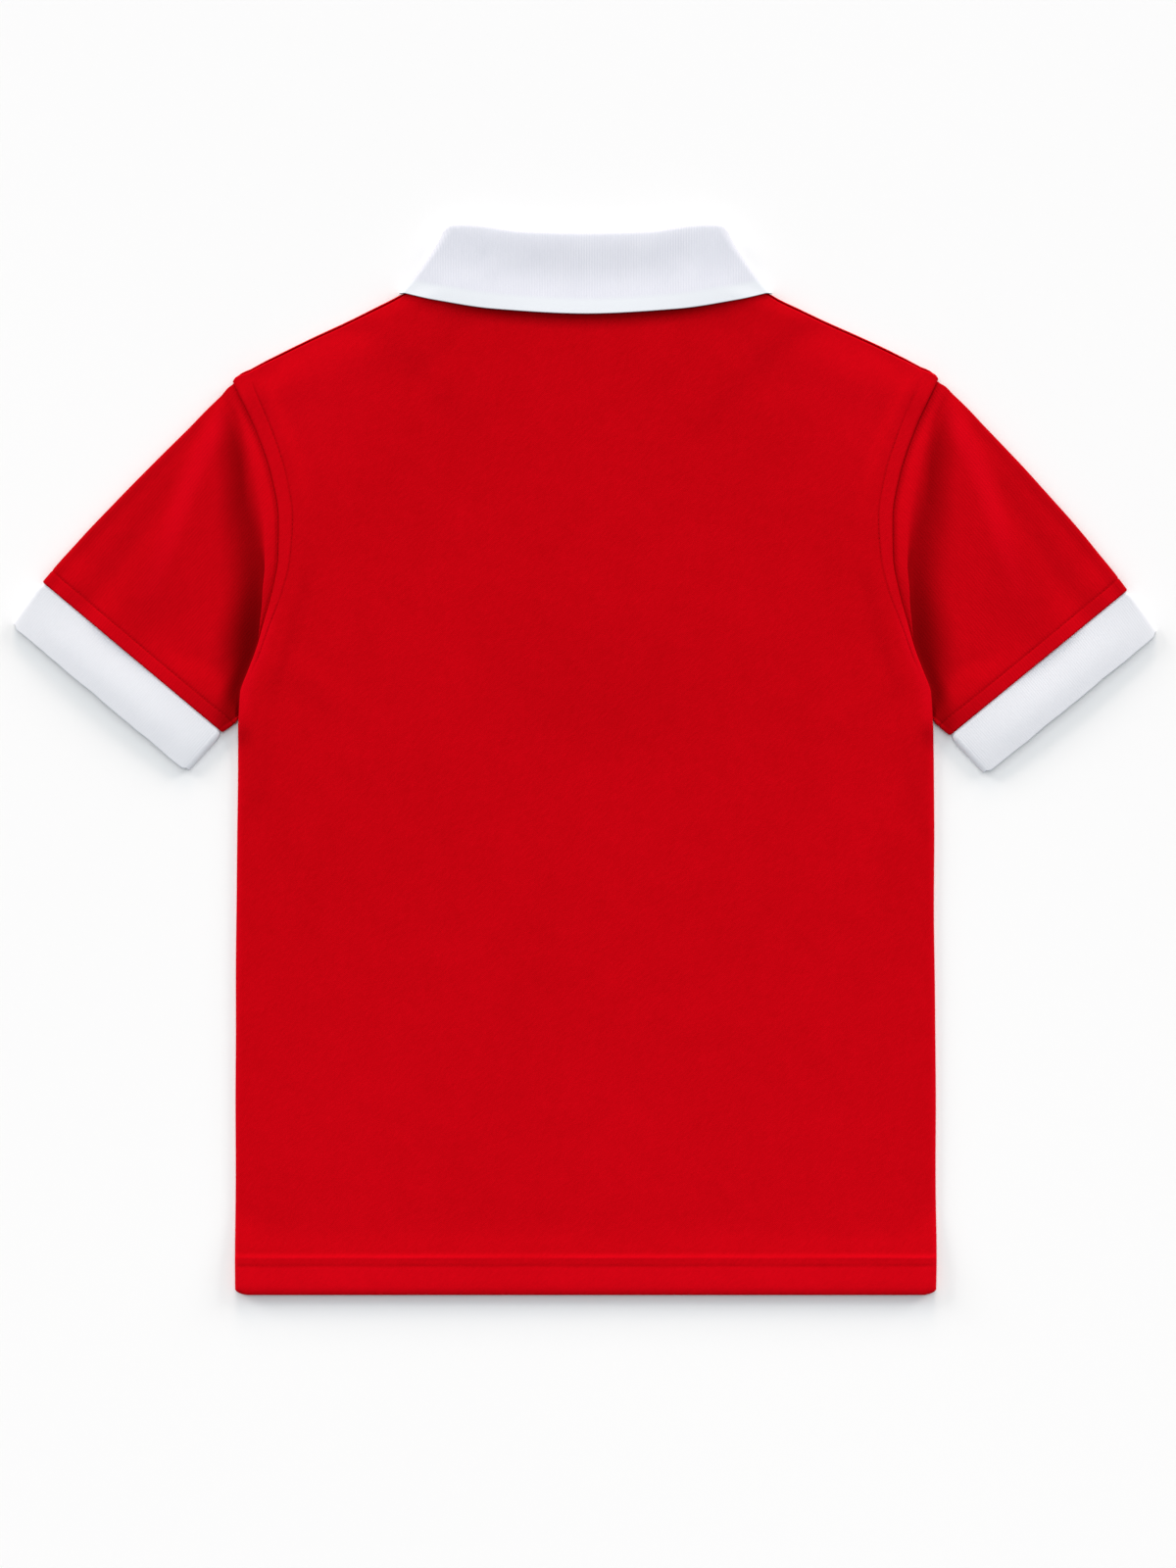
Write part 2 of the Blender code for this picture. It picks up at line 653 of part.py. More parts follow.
BUTTON_PROFILE = table(
    "radius z",
    [(0.0, 0.7), (3.2, 0.7), (3.8, 0.0), (4.6, 0.0), (5.0, 0.5), (5.0, 1.4), (4.4, 2.0), (0.0, 2.0)],
)
BUTTON_STEPS = 16
THREAD_HOLE_RADIUS = 0.75
THREAD_HOLE_OFFSET = 1.7


def button(name, y):
    """A four-hole button, its dished face down, turned about its own axis and drilled."""
    mesh = bmesh.new()
    verts = [mesh.verts.new((row["radius"] * MM, 0, row["z"] * MM)) for row in BUTTON_PROFILE]
    edges = [mesh.edges.new(pair) for pair in zip(verts, verts[1:])]
    bmesh.ops.spin(
        mesh,
        geom=verts + edges,
        angle=2 * pi,
        steps=BUTTON_STEPS,
        axis=(0, 0, 1),
        cent=(0, 0, 0),
        use_merge=True,
    )
    bmesh.ops.remove_doubles(mesh, verts=mesh.verts, dist=1e-6)
    bmesh.ops.recalc_face_normals(mesh, faces=mesh.faces)
    piece = finish_mesh(name, mesh, WHITE, roughness=0.35)
    piece.location = (0, y * MM, 0)
    for number in range(4):
        angle = pi / 4 + number * pi / 2
        bpy.ops.mesh.primitive_cylinder_add(
            vertices=6,
            radius=THREAD_HOLE_RADIUS * MM,
            depth=3 * BUTTON_THICK * MM,
            location=(
                THREAD_HOLE_OFFSET * cos(angle) * MM,
                (y + THREAD_HOLE_OFFSET * sin(angle)) * MM,
                BUTTON_THICK / 2 * MM,
            ),
        )
        drill = bpy.context.active_object
        drill.name = f"drill_{name}_{number}"
        drill.hide_render = True
        drill.display_type = "WIRE"
        for collection in drill.users_collection:
            collection.objects.unlink(drill)
        drills.objects.link(drill)
        hole = piece.modifiers.new(f"hole_{number}", "BOOLEAN")
        hole.object = drill
        hole.operation = "DIFFERENCE"
    return piece


for old in list(bpy.data.objects):
    bpy.data.objects.remove(old)
shirt = bpy.data.collections.new("polo_shirt")
drills = bpy.data.collections.new("drills")
bpy.context.scene.collection.children.link(shirt)
bpy.context.scene.collection.children.link(drills)

body_panel("back", back_neck_y, back_level, inwards=-1)
body_panel("front", front_neck_y, front_level, inwards=1, keep=outside_placket_slot)
for side, sign in (("left", -1), ("right", 1)):
    sleeve(f"sleeve_{side}", sign)
    cuff(f"cuff_{side}", sign)
collar()
placket_strip("placket_upper", raised=0.0)
placket_strip("placket_under", raised=LAYER)
for button_name, button_y in BUTTON_YS.items():
    button(button_name, button_y)
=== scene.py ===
import json
from math import cos, hypot, pi, radians, sin, sqrt

import bmesh
import bpy
from mathutils import Matrix, Vector
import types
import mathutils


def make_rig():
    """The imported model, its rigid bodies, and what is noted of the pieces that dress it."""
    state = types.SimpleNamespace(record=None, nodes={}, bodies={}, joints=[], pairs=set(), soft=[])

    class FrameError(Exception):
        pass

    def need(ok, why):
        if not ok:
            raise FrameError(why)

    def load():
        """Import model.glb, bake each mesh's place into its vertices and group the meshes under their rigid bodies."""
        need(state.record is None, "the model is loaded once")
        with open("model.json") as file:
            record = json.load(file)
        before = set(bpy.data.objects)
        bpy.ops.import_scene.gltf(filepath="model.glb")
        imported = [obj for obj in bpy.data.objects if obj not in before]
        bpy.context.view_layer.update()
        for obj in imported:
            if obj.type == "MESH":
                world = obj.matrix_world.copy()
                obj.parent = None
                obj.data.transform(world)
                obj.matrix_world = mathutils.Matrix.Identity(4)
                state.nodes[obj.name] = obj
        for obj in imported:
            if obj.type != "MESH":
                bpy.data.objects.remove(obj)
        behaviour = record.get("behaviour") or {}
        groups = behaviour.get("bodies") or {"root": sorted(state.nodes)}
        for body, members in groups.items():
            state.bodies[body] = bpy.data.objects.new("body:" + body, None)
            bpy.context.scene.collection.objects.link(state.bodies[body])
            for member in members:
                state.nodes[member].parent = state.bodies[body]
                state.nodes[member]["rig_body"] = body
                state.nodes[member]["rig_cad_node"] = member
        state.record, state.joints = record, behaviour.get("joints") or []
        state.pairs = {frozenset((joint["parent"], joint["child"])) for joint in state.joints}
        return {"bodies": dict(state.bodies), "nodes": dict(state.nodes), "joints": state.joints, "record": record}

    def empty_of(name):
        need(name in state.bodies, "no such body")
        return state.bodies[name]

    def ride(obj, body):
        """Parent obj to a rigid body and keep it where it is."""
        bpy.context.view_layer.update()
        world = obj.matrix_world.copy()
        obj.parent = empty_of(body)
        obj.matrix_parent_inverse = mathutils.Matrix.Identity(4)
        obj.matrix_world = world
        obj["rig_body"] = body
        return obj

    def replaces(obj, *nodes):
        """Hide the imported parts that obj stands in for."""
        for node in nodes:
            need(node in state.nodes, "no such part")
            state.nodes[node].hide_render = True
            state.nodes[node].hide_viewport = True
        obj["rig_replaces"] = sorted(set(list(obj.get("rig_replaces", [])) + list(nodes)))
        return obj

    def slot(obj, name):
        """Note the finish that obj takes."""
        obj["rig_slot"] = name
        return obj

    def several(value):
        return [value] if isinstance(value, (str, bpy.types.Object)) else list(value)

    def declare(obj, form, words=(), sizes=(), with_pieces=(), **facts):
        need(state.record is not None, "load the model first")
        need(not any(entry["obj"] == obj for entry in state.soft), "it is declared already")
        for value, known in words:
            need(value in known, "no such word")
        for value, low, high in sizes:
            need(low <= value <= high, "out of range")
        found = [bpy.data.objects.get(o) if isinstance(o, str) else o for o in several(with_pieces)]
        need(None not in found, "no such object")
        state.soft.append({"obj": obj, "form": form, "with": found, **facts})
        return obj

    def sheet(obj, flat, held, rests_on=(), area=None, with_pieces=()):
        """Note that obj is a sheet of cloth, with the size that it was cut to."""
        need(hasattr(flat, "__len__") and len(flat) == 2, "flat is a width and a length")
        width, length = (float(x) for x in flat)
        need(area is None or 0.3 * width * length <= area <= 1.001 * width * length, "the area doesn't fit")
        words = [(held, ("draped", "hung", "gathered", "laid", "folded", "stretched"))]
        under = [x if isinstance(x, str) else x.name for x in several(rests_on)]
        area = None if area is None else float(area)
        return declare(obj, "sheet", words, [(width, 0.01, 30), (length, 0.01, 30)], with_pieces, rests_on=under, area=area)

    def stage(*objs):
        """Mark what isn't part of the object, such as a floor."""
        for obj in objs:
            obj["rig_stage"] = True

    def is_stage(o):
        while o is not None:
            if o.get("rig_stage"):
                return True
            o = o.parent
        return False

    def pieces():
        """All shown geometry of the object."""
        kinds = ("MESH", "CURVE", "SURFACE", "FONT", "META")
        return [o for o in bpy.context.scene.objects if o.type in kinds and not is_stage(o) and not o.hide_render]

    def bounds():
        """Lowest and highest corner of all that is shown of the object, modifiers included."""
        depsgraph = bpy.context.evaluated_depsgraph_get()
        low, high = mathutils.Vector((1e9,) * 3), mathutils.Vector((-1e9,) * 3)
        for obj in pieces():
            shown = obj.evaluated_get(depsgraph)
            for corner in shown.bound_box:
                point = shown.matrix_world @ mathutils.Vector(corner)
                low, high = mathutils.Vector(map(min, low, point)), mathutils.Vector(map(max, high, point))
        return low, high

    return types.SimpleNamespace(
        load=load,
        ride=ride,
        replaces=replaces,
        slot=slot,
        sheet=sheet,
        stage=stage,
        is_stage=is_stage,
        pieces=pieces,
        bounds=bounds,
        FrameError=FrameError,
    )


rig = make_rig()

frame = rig.load()
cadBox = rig.bounds()

# Sizes are in millimetres, and mm makes them metres. The collar points to +Y, the back of the shirt faces up,
# and Z = 0 is what the shirt lies on.
mm = 0.001


def table(columns, rows):  # rows as dictionaries, by column name
    return [dict(zip(columns.split(), row)) for row in rows]


class Curve:  # a smooth curve through two columns of a table, never past them
    def __init__(self, rows, key, column):
        points = sorted((row[key], row[column]) for row in rows)
        self.keys = [point[0] for point in points]
        self.values = [point[1] for point in points]
        steps = [
            (self.values[i + 1] - self.values[i]) / (self.keys[i + 1] - self.keys[i])
            for i in range(len(points) - 1)
        ]
        inner = [2 * a * b / (a + b) if a * b > 0 else 0.0 for a, b in zip(steps, steps[1:])]
        self.slopes = [steps[0], *inner, steps[-1]]

    def __call__(self, at):
        at = min(max(at, self.keys[0]), self.keys[-1])
        i = max(j for j in range(len(self.keys) - 1) if self.keys[j] <= at)
        span = self.keys[i + 1] - self.keys[i]
        t = (at - self.keys[i]) / span
        return (
            (1 + 2 * t) * (1 - t) ** 2 * self.values[i]
            + t * (1 - t) ** 2 * span * self.slopes[i]
            + t * t * (3 - 2 * t) * self.values[i + 1]
            - t * t * (1 - t) * span * self.slopes[i + 1]
        )


def lerp(a, b, share):
    return a + (b - a) * share


def ramp(value, start, end):  # 0 before start, 1 after end, smooth between
    t = min(max((value - start) / (end - start), 0.0), 1.0)
    return t * t * (3 - 2 * t)


def hump(value, middle, halfWidth):  # 1 in the middle and 0 at halfWidth from it
    return 1 - ramp(abs(value - middle), 0, halfWidth)


def sideOf(value):  # -1 on the left and 1 on the right
    return -1 if value < 0 else 1


def unit(x, y):
    return x / hypot(x, y), y / hypot(x, y)


def highest(*heights):  # a maximum with its corners rounded off
    return sum(max(h, 0.0) ** 6 for h in heights) ** (1 / 6)


def fromLine(x, y, x0, y0, x1, y1):  # distance from a straight line, positive on its right
    dx, dy = x1 - x0, y1 - y0
    return ((x - x0) * dy - (y - y0) * dx) / hypot(dx, dy)


def steps(start, end, count):
    return [lerp(start, end, i / count) for i in range(count + 1)]


def uneven(at, size=1.0):  # a slow wander between -1 and 1 that never repeats in sight
    at /= size
    return (sin(at) + 0.6 * sin(1.73 * at + 1.1) + 0.4 * sin(3.1 * at + 2.3)) / 2


print("stage 1: finishes")


class Wire:  # one output of a shader node, on which sums add Math nodes
    def __init__(self, tree, socket=None):
        self.tree, self.socket = tree, socket

    def node(self, kind, settings, values, output=0):
        made = self.tree.nodes.new(kind)
        for key, value in settings.items():
            setattr(made, key, value)
        for key, value in values.items():
            if isinstance(value, Wire):
                self.tree.links.new(value.socket, made.inputs[key])
            else:
                made.inputs[key].default_value = value
        return Wire(self.tree, made.outputs[output])

    def math(self, operation, *values):
        return self.node("ShaderNodeMath", {"operation": operation}, dict(enumerate(values)))

    def __add__(self, other):
        return self.math("ADD", self, other)

    def __radd__(self, other):
        return self.math("ADD", other, self)

    def __sub__(self, other):
        return self.math("SUBTRACT", self, other)

    def __rsub__(self, other):
        return self.math("SUBTRACT", other, self)

    def __mul__(self, other):
        return self.math("MULTIPLY", self, other)

    def __rmul__(self, other):
        return self.math("MULTIPLY", other, self)

    def __truediv__(self, other):
        return self.math("DIVIDE", self, other)

    def __rtruediv__(self, other):
        return self.math("DIVIDE", other, self)

    def cosine(self):
        return self.math("COSINE", self)

    def kept(self):  # held between 0 and 1
        return self.node("ShaderNodeClamp", {}, {"Value": self})

    def colours(self, low, high):  # low where this is 0 and high where it is 1
        sockets = {0: self, 6: low, 7: high}
        return self.node("ShaderNodeMix", {"data_type": "RGBA"}, sockets, output=2)

    def vector(self, operation, other):
        return self.node("ShaderNodeVectorMath", {"operation": operation}, {0: self, 1: other})

    def noise(self, perMetre, detail=2.0):
        sockets = {"Vector": self, "Scale": perMetre, "Detail": detail}
        return self.node("ShaderNodeTexNoise", {}, sockets)

    def apart(self):  # its x and y
        split = {"Vector": self}
        return [self.node("ShaderNodeSeparateXYZ", {}, split, output=axis) for axis in (0, 1)]


def finish(name, constants):
    made = bpy.data.materials.new(name)
    made.use_nodes = True
    shader = made.node_tree.nodes["Principled BSDF"]
    for key, value in constants.items():
        shader.inputs[key].default_value = value
    wire = Wire(made.node_tree)

    def drive(key, value):
        made.node_tree.links.new(value.socket, shader.inputs[key])

    return made, wire, drive


def attribute(wire, name):
    return wire.node("ShaderNodeAttribute", {"attribute_name": name}, {}, output=2)


def clothMap(wire):
    return wire.node("ShaderNodeUVMap", {"uv_map": "clothMap"}, {})


def bump(wire, height, strength, deep):
    sockets = {"Height": height, "Strength": strength, "Distance": deep * mm}
    return wire.node("ShaderNodeBump", {}, sockets)


pique = {
    "wale": 1.30,  # from one raised cell to the next across the cloth
    "course": 1.10,  # and along it
    "wander": 0.35,  # how far the cells stray from their rows
    "deep": (0.440, 0.0004, 0.0028, 1.0),
    "raised": (0.610, 0.0009, 0.0060, 1.0),
    "fold": (0.130, 0.0001, 0.0006, 1.0),  # painted shade, deep in a fold or a stitch line
    "pale": (0.760, 0.0012, 0.0100, 1.0),  # painted highlight, where the cloth stands up to the light
    "relief": 0.17,
    "fibres": 0.38,  # how much each kind of unevenness shows in the colour
    "strokes": 0.76,
    "broad": 0.44,
    "patches": 0.36,
    # how much the cells and the wales show, and by how much the whole is darker
    "bodyKnit": {"cells": 0.20, "wales": 0.05, "slanted": True, "darker": 0.58},
    "sleeveKnit": {"cells": 0.03, "wales": 0.16, "slanted": False, "darker": 0.52},
    "constants": {
        "Specular IOR Level": 0.012,
        "Sheen Weight": 0.10,
        "Sheen Roughness": 0.5,
        "Sheen Tint": (1.0, 0.02, 0.04, 1.0),
    },
}


def redPique(name, knit):
    made, wire, drive = finish(name, pique["constants"])
    flat = clothMap(wire)
    drift = flat.noise(260.0) - 0.5  # a slow drift of the rows
    x, y = flat.apart()
    strokes = {0: (x - y) * 560.0, 1: (x + y) * 120.0} if knit["slanted"] else {0: x * 700.0, 1: y * 140.0}
    strokes = wire.node("ShaderNodeCombineXYZ", {}, strokes).noise(1.0, 2.0)
    x = (x / mm + drift * (2 * pique["wander"])) * (2 * pi / pique["wale"])
    y = (y / mm - drift * pique["wander"]) * (2 * pi / pique["course"])
    cells = (x + y).cosine() * 0.3 + (x - y).cosine() * 0.2 + 0.5
    wales = (x * (2.0 if knit["slanted"] else 0.8) + y.cosine() * 0.4).cosine() * 0.5 + 0.5
    fibres = flat.noise(1900.0, 3.0)
    broad = flat.noise(9.0, 3.0)
    patches = flat.noise(60.0, 2.0)
    tone = cells * knit["cells"] + wales * knit["wales"] + fibres * pique["fibres"] + strokes * pique["strokes"]
    tone = tone + broad * pique["broad"] + patches * pique["patches"] - knit["darker"]
    main = tone.kept().colours(pique["deep"], pique["raised"])
    # painted highlights and then painted shade over the knit's own colour
    main = attribute(wire, "pale").kept().colours(main, pique["pale"])
    drive("Base Color", attribute(wire, "shade").kept().colours(main, pique["fold"]))
    drive("Roughness", 0.74 + fibres * 0.2)
    height = cells * (3 * knit["cells"]) + wales * (3 * knit["wales"]) + fibres * 0.8 + strokes * 0.7
    drive("Normal", bump(wire, height, 0.55, pique["relief"]))
    return made


rib = {
    "pitch": 1.5,  # of the collar's ribs
    "loop": 0.95,  # of the loops along a rib
    "collarDeep": (0.585, 0.605, 0.695, 1.0),
    "collarRaised": (0.832, 0.847, 0.920, 1.0),
    "cuffDeep": (0.672, 0.690, 0.742, 1.0),
    "cuffRaised": (0.818, 0.834, 0.880, 1.0),
    "band": (0.780, 0.815, 0.865, 1.0),
    # painted shade colour, for the collar's fold and crease and the cuff's rib hollows
    "fold": (0.300, 0.310, 0.350, 1.0),
    "relief": 0.16,
    "fibres": 0.35,
    "patches": 0.35,
    "ribs": 0.44,
    "constants": {"Specular IOR Level": 0.1, "Sheen Weight": 0.08, "Sheen Roughness": 0.5},
}


def whiteRib(name, deep, raised, drawnRibs):
    made, wire, drive = finish(name, rib["constants"])
    flat = clothMap(wire)
    x, y = flat.apart()
    drift = flat.noise(120.0) - 0.5
    fibres = flat.noise(2100.0, 3.0)
    patches = flat.noise(45.0, 3.0)
    band = attribute(wire, "pale")
    loops = (y * (2 * pi / (rib["loop"] * mm)) + drift * 4).cosine() * 0.5 + 0.5
    height = loops * 0.08 + fibres * 0.55
    tone = 0.36 + fibres * rib["fibres"] + patches * rib["patches"]
    if drawnRibs:
        ribs = (x * (2 * pi / (rib["pitch"] * mm)) + drift * 1.5).cosine() * 0.5 + 0.5
        height = height + ribs * (1.0 - band)
        seen = (flat.noise(28.0, 2.0) * 2.6 - 0.9).kept()  # the ribs show in some places more than in others
        tone = tone + (ribs - 0.5) * (rib["ribs"] * (1.0 - band)) * seen
    main = tone.kept().colours(deep, raised)
    main = band.colours(main, rib["band"])
    # painted shade over the rib's own colour and band
    drive("Base Color", attribute(wire, "shade").kept().colours(main, rib["fold"]))
    drive("Roughness", 0.78 + fibres * 0.16)
    drive("Normal", bump(wire, height, 0.5, rib["relief"]))
    return made


def sewingThread(name, middle, ends):
    made, wire, drive = finish(name, {"Specular IOR Level": 0.02})
    place = wire.node("ShaderNodeTexCoord", {}, {}, output=3)
    strands = place.noise(2600.0, 2.0)
    # the ends of each stitch, where it dives into the cloth, take the second colour: painted shade of the needle holes
    holeShade = attribute(wire, "end")
    drive("Base Color", (holeShade + strands * 0.3 - 0.15).kept().colours(middle, ends))
    drive("Roughness", 0.5 + strands * 0.3)
    drive("Normal", bump(wire, strands, 0.5, 0.08))
    return made


def buttonPlastic():
    constants = {"Coat Weight": 0.25, "Coat Roughness": 0.12, "Specular IOR Level": 0.5}
    made, wire, drive = finish("buttonPlastic", constants)
    place = wire.node("ShaderNodeTexCoord", {}, {}, output=3)
    swirl = place.noise(130.0, 3.0)
    stirred = wire.node("ShaderNodeCombineXYZ", {}, {0: swirl * 0.012, 1: swirl * 0.008})
    pearl = place.vector("ADD", stirred).noise(260.0, 2.0)
    drive("Base Color", pearl.colours((0.72, 0.72, 0.70, 1.0), (0.90, 0.90, 0.89, 1.0)))
    drive("Roughness", 0.16 + pearl * 0.16)
    return made


def paleFloor():
    made, wire, drive = finish("paleFloor", {"Specular IOR Level": 0.1})
    place = wire.node("ShaderNodeTexCoord", {}, {}, output=3)
    cloud = place.noise(1.5, 2.0)
    drive("Base Color", cloud.colours((0.925, 0.930, 0.940, 1.0), (0.950, 0.955, 0.960, 1.0)))
    drive("Roughness", 0.85 + cloud * 0.1)
    return made


finishes = {
    "bodyPique": redPique("bodyPique", pique["bodyKnit"]),
    "sleevePique": redPique("sleevePique", pique["sleeveKnit"]),
    "cuffRib": whiteRib("cuffRib", rib["cuffDeep"], rib["cuffRaised"], drawnRibs=False),
    "collarRib": whiteRib("collarRib", rib["collarDeep"], rib["collarRaised"], drawnRibs=True),
    # each thread's second colour is the painted shade at its stitches' ends
    "redThread": sewingThread("redThread", (0.46, 0.0005, 0.004, 1.0), (0.03, 0.0001, 0.0004, 1.0)),
    "whiteThread": sewingThread("whiteThread", (0.80, 0.80, 0.83, 1.0), (0.45, 0.45, 0.48, 1.0)),
    "buttonPlastic": buttonPlastic(),
    "paleFloor": paleFloor(),
}


print("stage 2: cloth")

cloth = {
    "body": 1.2,  # thickness of the walls
    "rib": 1.4,
    "gap": 0.3,  # between pieces at a seam
    "turnedEdge": (0.95, 0.2),  # rounding of an edge that is turned in at a seam, outer side and inner side
    "ownEdge": (0.35, 0.5),  # rounding of the rib's own edge
    "tubeEdge": (0.9, 0.25),
}
layer = cloth["body"] + cloth["gap"]


def roundOff(fromRim, radius):  # how far a rounded edge falls short of the flat face
    if fromRim >= radius:
        return 0.0
    return radius - sqrt(radius**2 - (radius - fromRim) ** 2)


def flatGrid(columns, rows):
    across, up = len(columns) - 1, len(rows) - 1
    mesh = bmesh.new()
    mesh.loops.layers.uv.new("clothMap")
    for number in ("column", "row"):
        mesh.verts.layers.int.new(number)
    for mark in ("shade", "pale"):
        mesh.verts.layers.float.new(mark)
    columnOf, rowOf = mesh.verts.layers.int["column"], mesh.verts.layers.int["row"]
    bmesh.ops.create_grid(mesh, x_segments=across, y_segments=up, size=1)
    for vert in mesh.verts:
        vert[columnOf] = round((vert.co.x + 1) / 2 * across)
        vert[rowOf] = round((vert.co.y + 1) / 2 * up)
    return mesh


def nothing(column, row):
    return 0.0


def clothShell(
    name, columns, rows, wall, rounds, place, rim, mapAt, relief=nothing, shade=nothing, pale=nothing, keep=None
):
    # A wall of cloth from a grid. place(column, row, out) is a point out from the wall's middle, rim() the
    # distance to the nearest edge, relief() what the outer side alone does, shade() the painted shade and the
    # next one the painted highlights (on the collar, its own smooth band), marks that the finishes read, and
    # keep() refuses the faces to leave out.
    mesh = flatGrid(columns, rows)
    columnOf, rowOf = mesh.verts.layers.int["column"], mesh.verts.layers.int["row"]
    shadeOf, bandAndPaintedHighlightOf = mesh.verts.layers.float["shade"], mesh.verts.layers.float["pale"]
    mapOf = mesh.loops.layers.uv["clothMap"]
    if keep:
        unwanted = [
            face
            for face in mesh.faces
            if not keep([columns[v[columnOf]] for v in face.verts], [rows[v[rowOf]] for v in face.verts])
        ]
        bmesh.ops.delete(mesh, geom=unwanted, context="FACES")
    for vert in mesh.verts:
        column, row = columns[vert[columnOf]], rows[vert[rowOf]]
        vert[shadeOf], vert[bandAndPaintedHighlightOf] = shade(column, row), pale(column, row)
        onMap = [size * mm for size in mapAt(column, row)]
        for corner in vert.link_loops:
            corner[mapOf].uv = onMap

    def move(verts, side):
        for vert in verts:
            column, row = columns[vert[columnOf]], rows[vert[rowOf]]
            out = side * (wall / 2 - roundOff(rim(column, row), rounds[0 if side > 0 else 1]))
            if side > 0:
                out += relief(column, row)
            vert.co = Vector(place(column, row, out)) * mm
        bmesh.ops.remove_doubles(mesh, verts=verts, dist=1e-6)

    move(mesh.verts[:], 1)
    inner = bmesh.ops.extrude_face_region(mesh, geom=mesh.faces[:])
    move([item for item in inner["geom"] if isinstance(item, bmesh.types.BMVert)], -1)
    bmesh.ops.recalc_face_normals(mesh, faces=mesh.faces)
    return asPiece(name, mesh)


def asPiece(name, mesh, angle=62):
    data = bpy.data.meshes.new(name)
    mesh.to_mesh(data)
    mesh.free()
    data.shade_smooth()
    data.set_sharp_from_angle(angle=radians(angle))
    for spare in ("column", "row"):
        if spare in data.attributes:
            data.attributes.remove(data.attributes[spare])
    piece = bpy.data.objects.new(name, data)
    bpy.context.scene.collection.objects.link(piece)
    return piece


def dress(piece, material, slot, *nodes):
    piece.data.materials.append(finishes[material])
    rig.ride(piece, "root")
    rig.slot(piece, slot)
    if nodes:
        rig.replaces(piece, *nodes)
    triangles = sum(len(face.vertices) - 2 for face in piece.data.polygons)
    print(f"  {piece.name}: {triangles} triangles")
    return piece


print("stage 3: front and back")

body = {
    "hemY": -306.9,
    "turnUp": 18.0,
    "hemCorner": (8.5, 4.4),  # how far along the hem its corner is rounded, and how high
    "hemStitch": 16.7,  # above the bottom edge
    "hemRidge": 21.8,
    "neckHalf": 75.0,
    "neckPointY": 281.8,
    "backNeckDrop": 9.4,
    "frontNeckDrop": 57.8,
    "tipX": 202.5,  # where the shoulder seam ends
    "tipY": 219.5,
    "tipRound": 5.0,
    "straightUpTo": 60.0,
    "lip": 1.0,  # how much of the front shows over the shoulder seam, from behind
    "troughDeep": 0.34,  # of a stitch line
    "troughHalf": 0.95,
    "pucker": 0.10,
}
frontMid = cloth["body"] / 2
ribMid = cloth["rib"] / 2
liftOverCollar = cloth["rib"] + cloth["gap"] + 0.1
liftOverButton = 2.0 + cloth["gap"] + 0.1
tuckedTop = frontMid + layer + 1.8
placket = {"half": 75.0 * sin(radians(11)) - 0.3, "slot": 75.0 * sin(radians(11)), "endY": 104.0}

# The body's edge from the hem up the side seam, round the underarm and up the armhole.
sideEdge = table(
    "y halfWidth",
    [
        (-306.6, 201.3), (-286.0, 201.5), (-238.0, 201.2), (-160.0, 201.0), (-81.0, 200.5),
        (0.0, 200.0), (39.0, 198.3), (49.5, 194.6), (64.0, 189.1), (82.0, 184.0), (97.0, 180.0),
        (117.0, 176.4), (139.5, 176.1), (162.6, 179.8), (190.0, 188.8), (219.5, 202.5),
    ],
)

# The shoulder seams, their line carried on over the neck in the first row. The two sides differ a little.
shoulderSeam = table(
    "x left right",
    [
        (0.0, 318.0, 318.0), (75.0, 281.8, 281.8), (103.0, 268.8, 269.2), (107.5, 266.7, 266.9),
        (111.1, 264.7, 264.7), (122.4, 259.1, 259.4), (139.2, 251.0, 251.6), (156.1, 243.2, 244.1),
        (171.9, 235.5, 236.8), (185.4, 228.8, 230.1), (194.4, 224.7, 226.1), (202.5, 220.4, 221.9),
    ],
)

# How far inside the edge the armhole's topstitching runs.
armholeStitch = table(
    "y inset",
    [
        (-310.0, 8.2), (18.0, 8.2), (48.0, 2.7), (67.0, 3.0), (83.0, 4.4), (96.0, 5.9),
        (116.0, 6.9), (134.0, 7.9), (149.0, 8.1), (185.0, 8.6), (201.0, 9.0), (219.5, 10.0),
    ],
)

# The long soft folds of the back: where each runs, how wide and how high.
softFolds = table(
    "x0 y0 x1 y1 width height",
    [
        (88.0, 262.0, 182.0, 212.0, 16.0, -0.75), (-88.0, 262.0, -180.0, 214.0, 16.0, -0.65),
        (66.0, 258.0, 118.0, 205.0, 13.0, -0.55), (-62.0, 262.0, -104.0, 208.0, 12.0, -0.5),
        (148.0, 204.0, 128.0, 60.0, 20.0, 0.5), (-140.0, 196.0, -128.0, 40.0, 22.0, 0.4),
        (95.0, 120.0, 120.0, -230.0, 26.0, -0.5), (-104.0, 90.0, -112.0, -240.0, 28.0, -0.5),
        (30.0, 60.0, 45.0, -200.0, 24.0, 0.4), (-24.0, 90.0, -46.0, -220.0, 26.0, 0.35),
        (150.0, 40.0, 165.0, -180.0, 16.0, 0.4), (-158.0, 30.0, -162.0, -200.0, 18.0, 0.4),
        (-182.0, 60.0, -120.0, 20.0, 12.0, 0.45), (184.0, 56.0, 126.0, 8.0, 13.0, 0.4),
    ],
)

halfWidth = Curve(sideEdge, "y", "halfWidth")
shoulderY = {-1: Curve(shoulderSeam, "x", "left"), 1: Curve(shoulderSeam, "x", "right")}
stitchInset = Curve(armholeStitch, "y", "inset")


def backNeckY(x):
    return body["neckPointY"] - body["backNeckDrop"] * (1 - (x / body["neckHalf"]) ** 2)


def frontNeckY(x):
    return body["neckPointY"] - body["frontNeckDrop"] * sqrt(max(1 - (x / body["neckHalf"]) ** 2, 0.0))


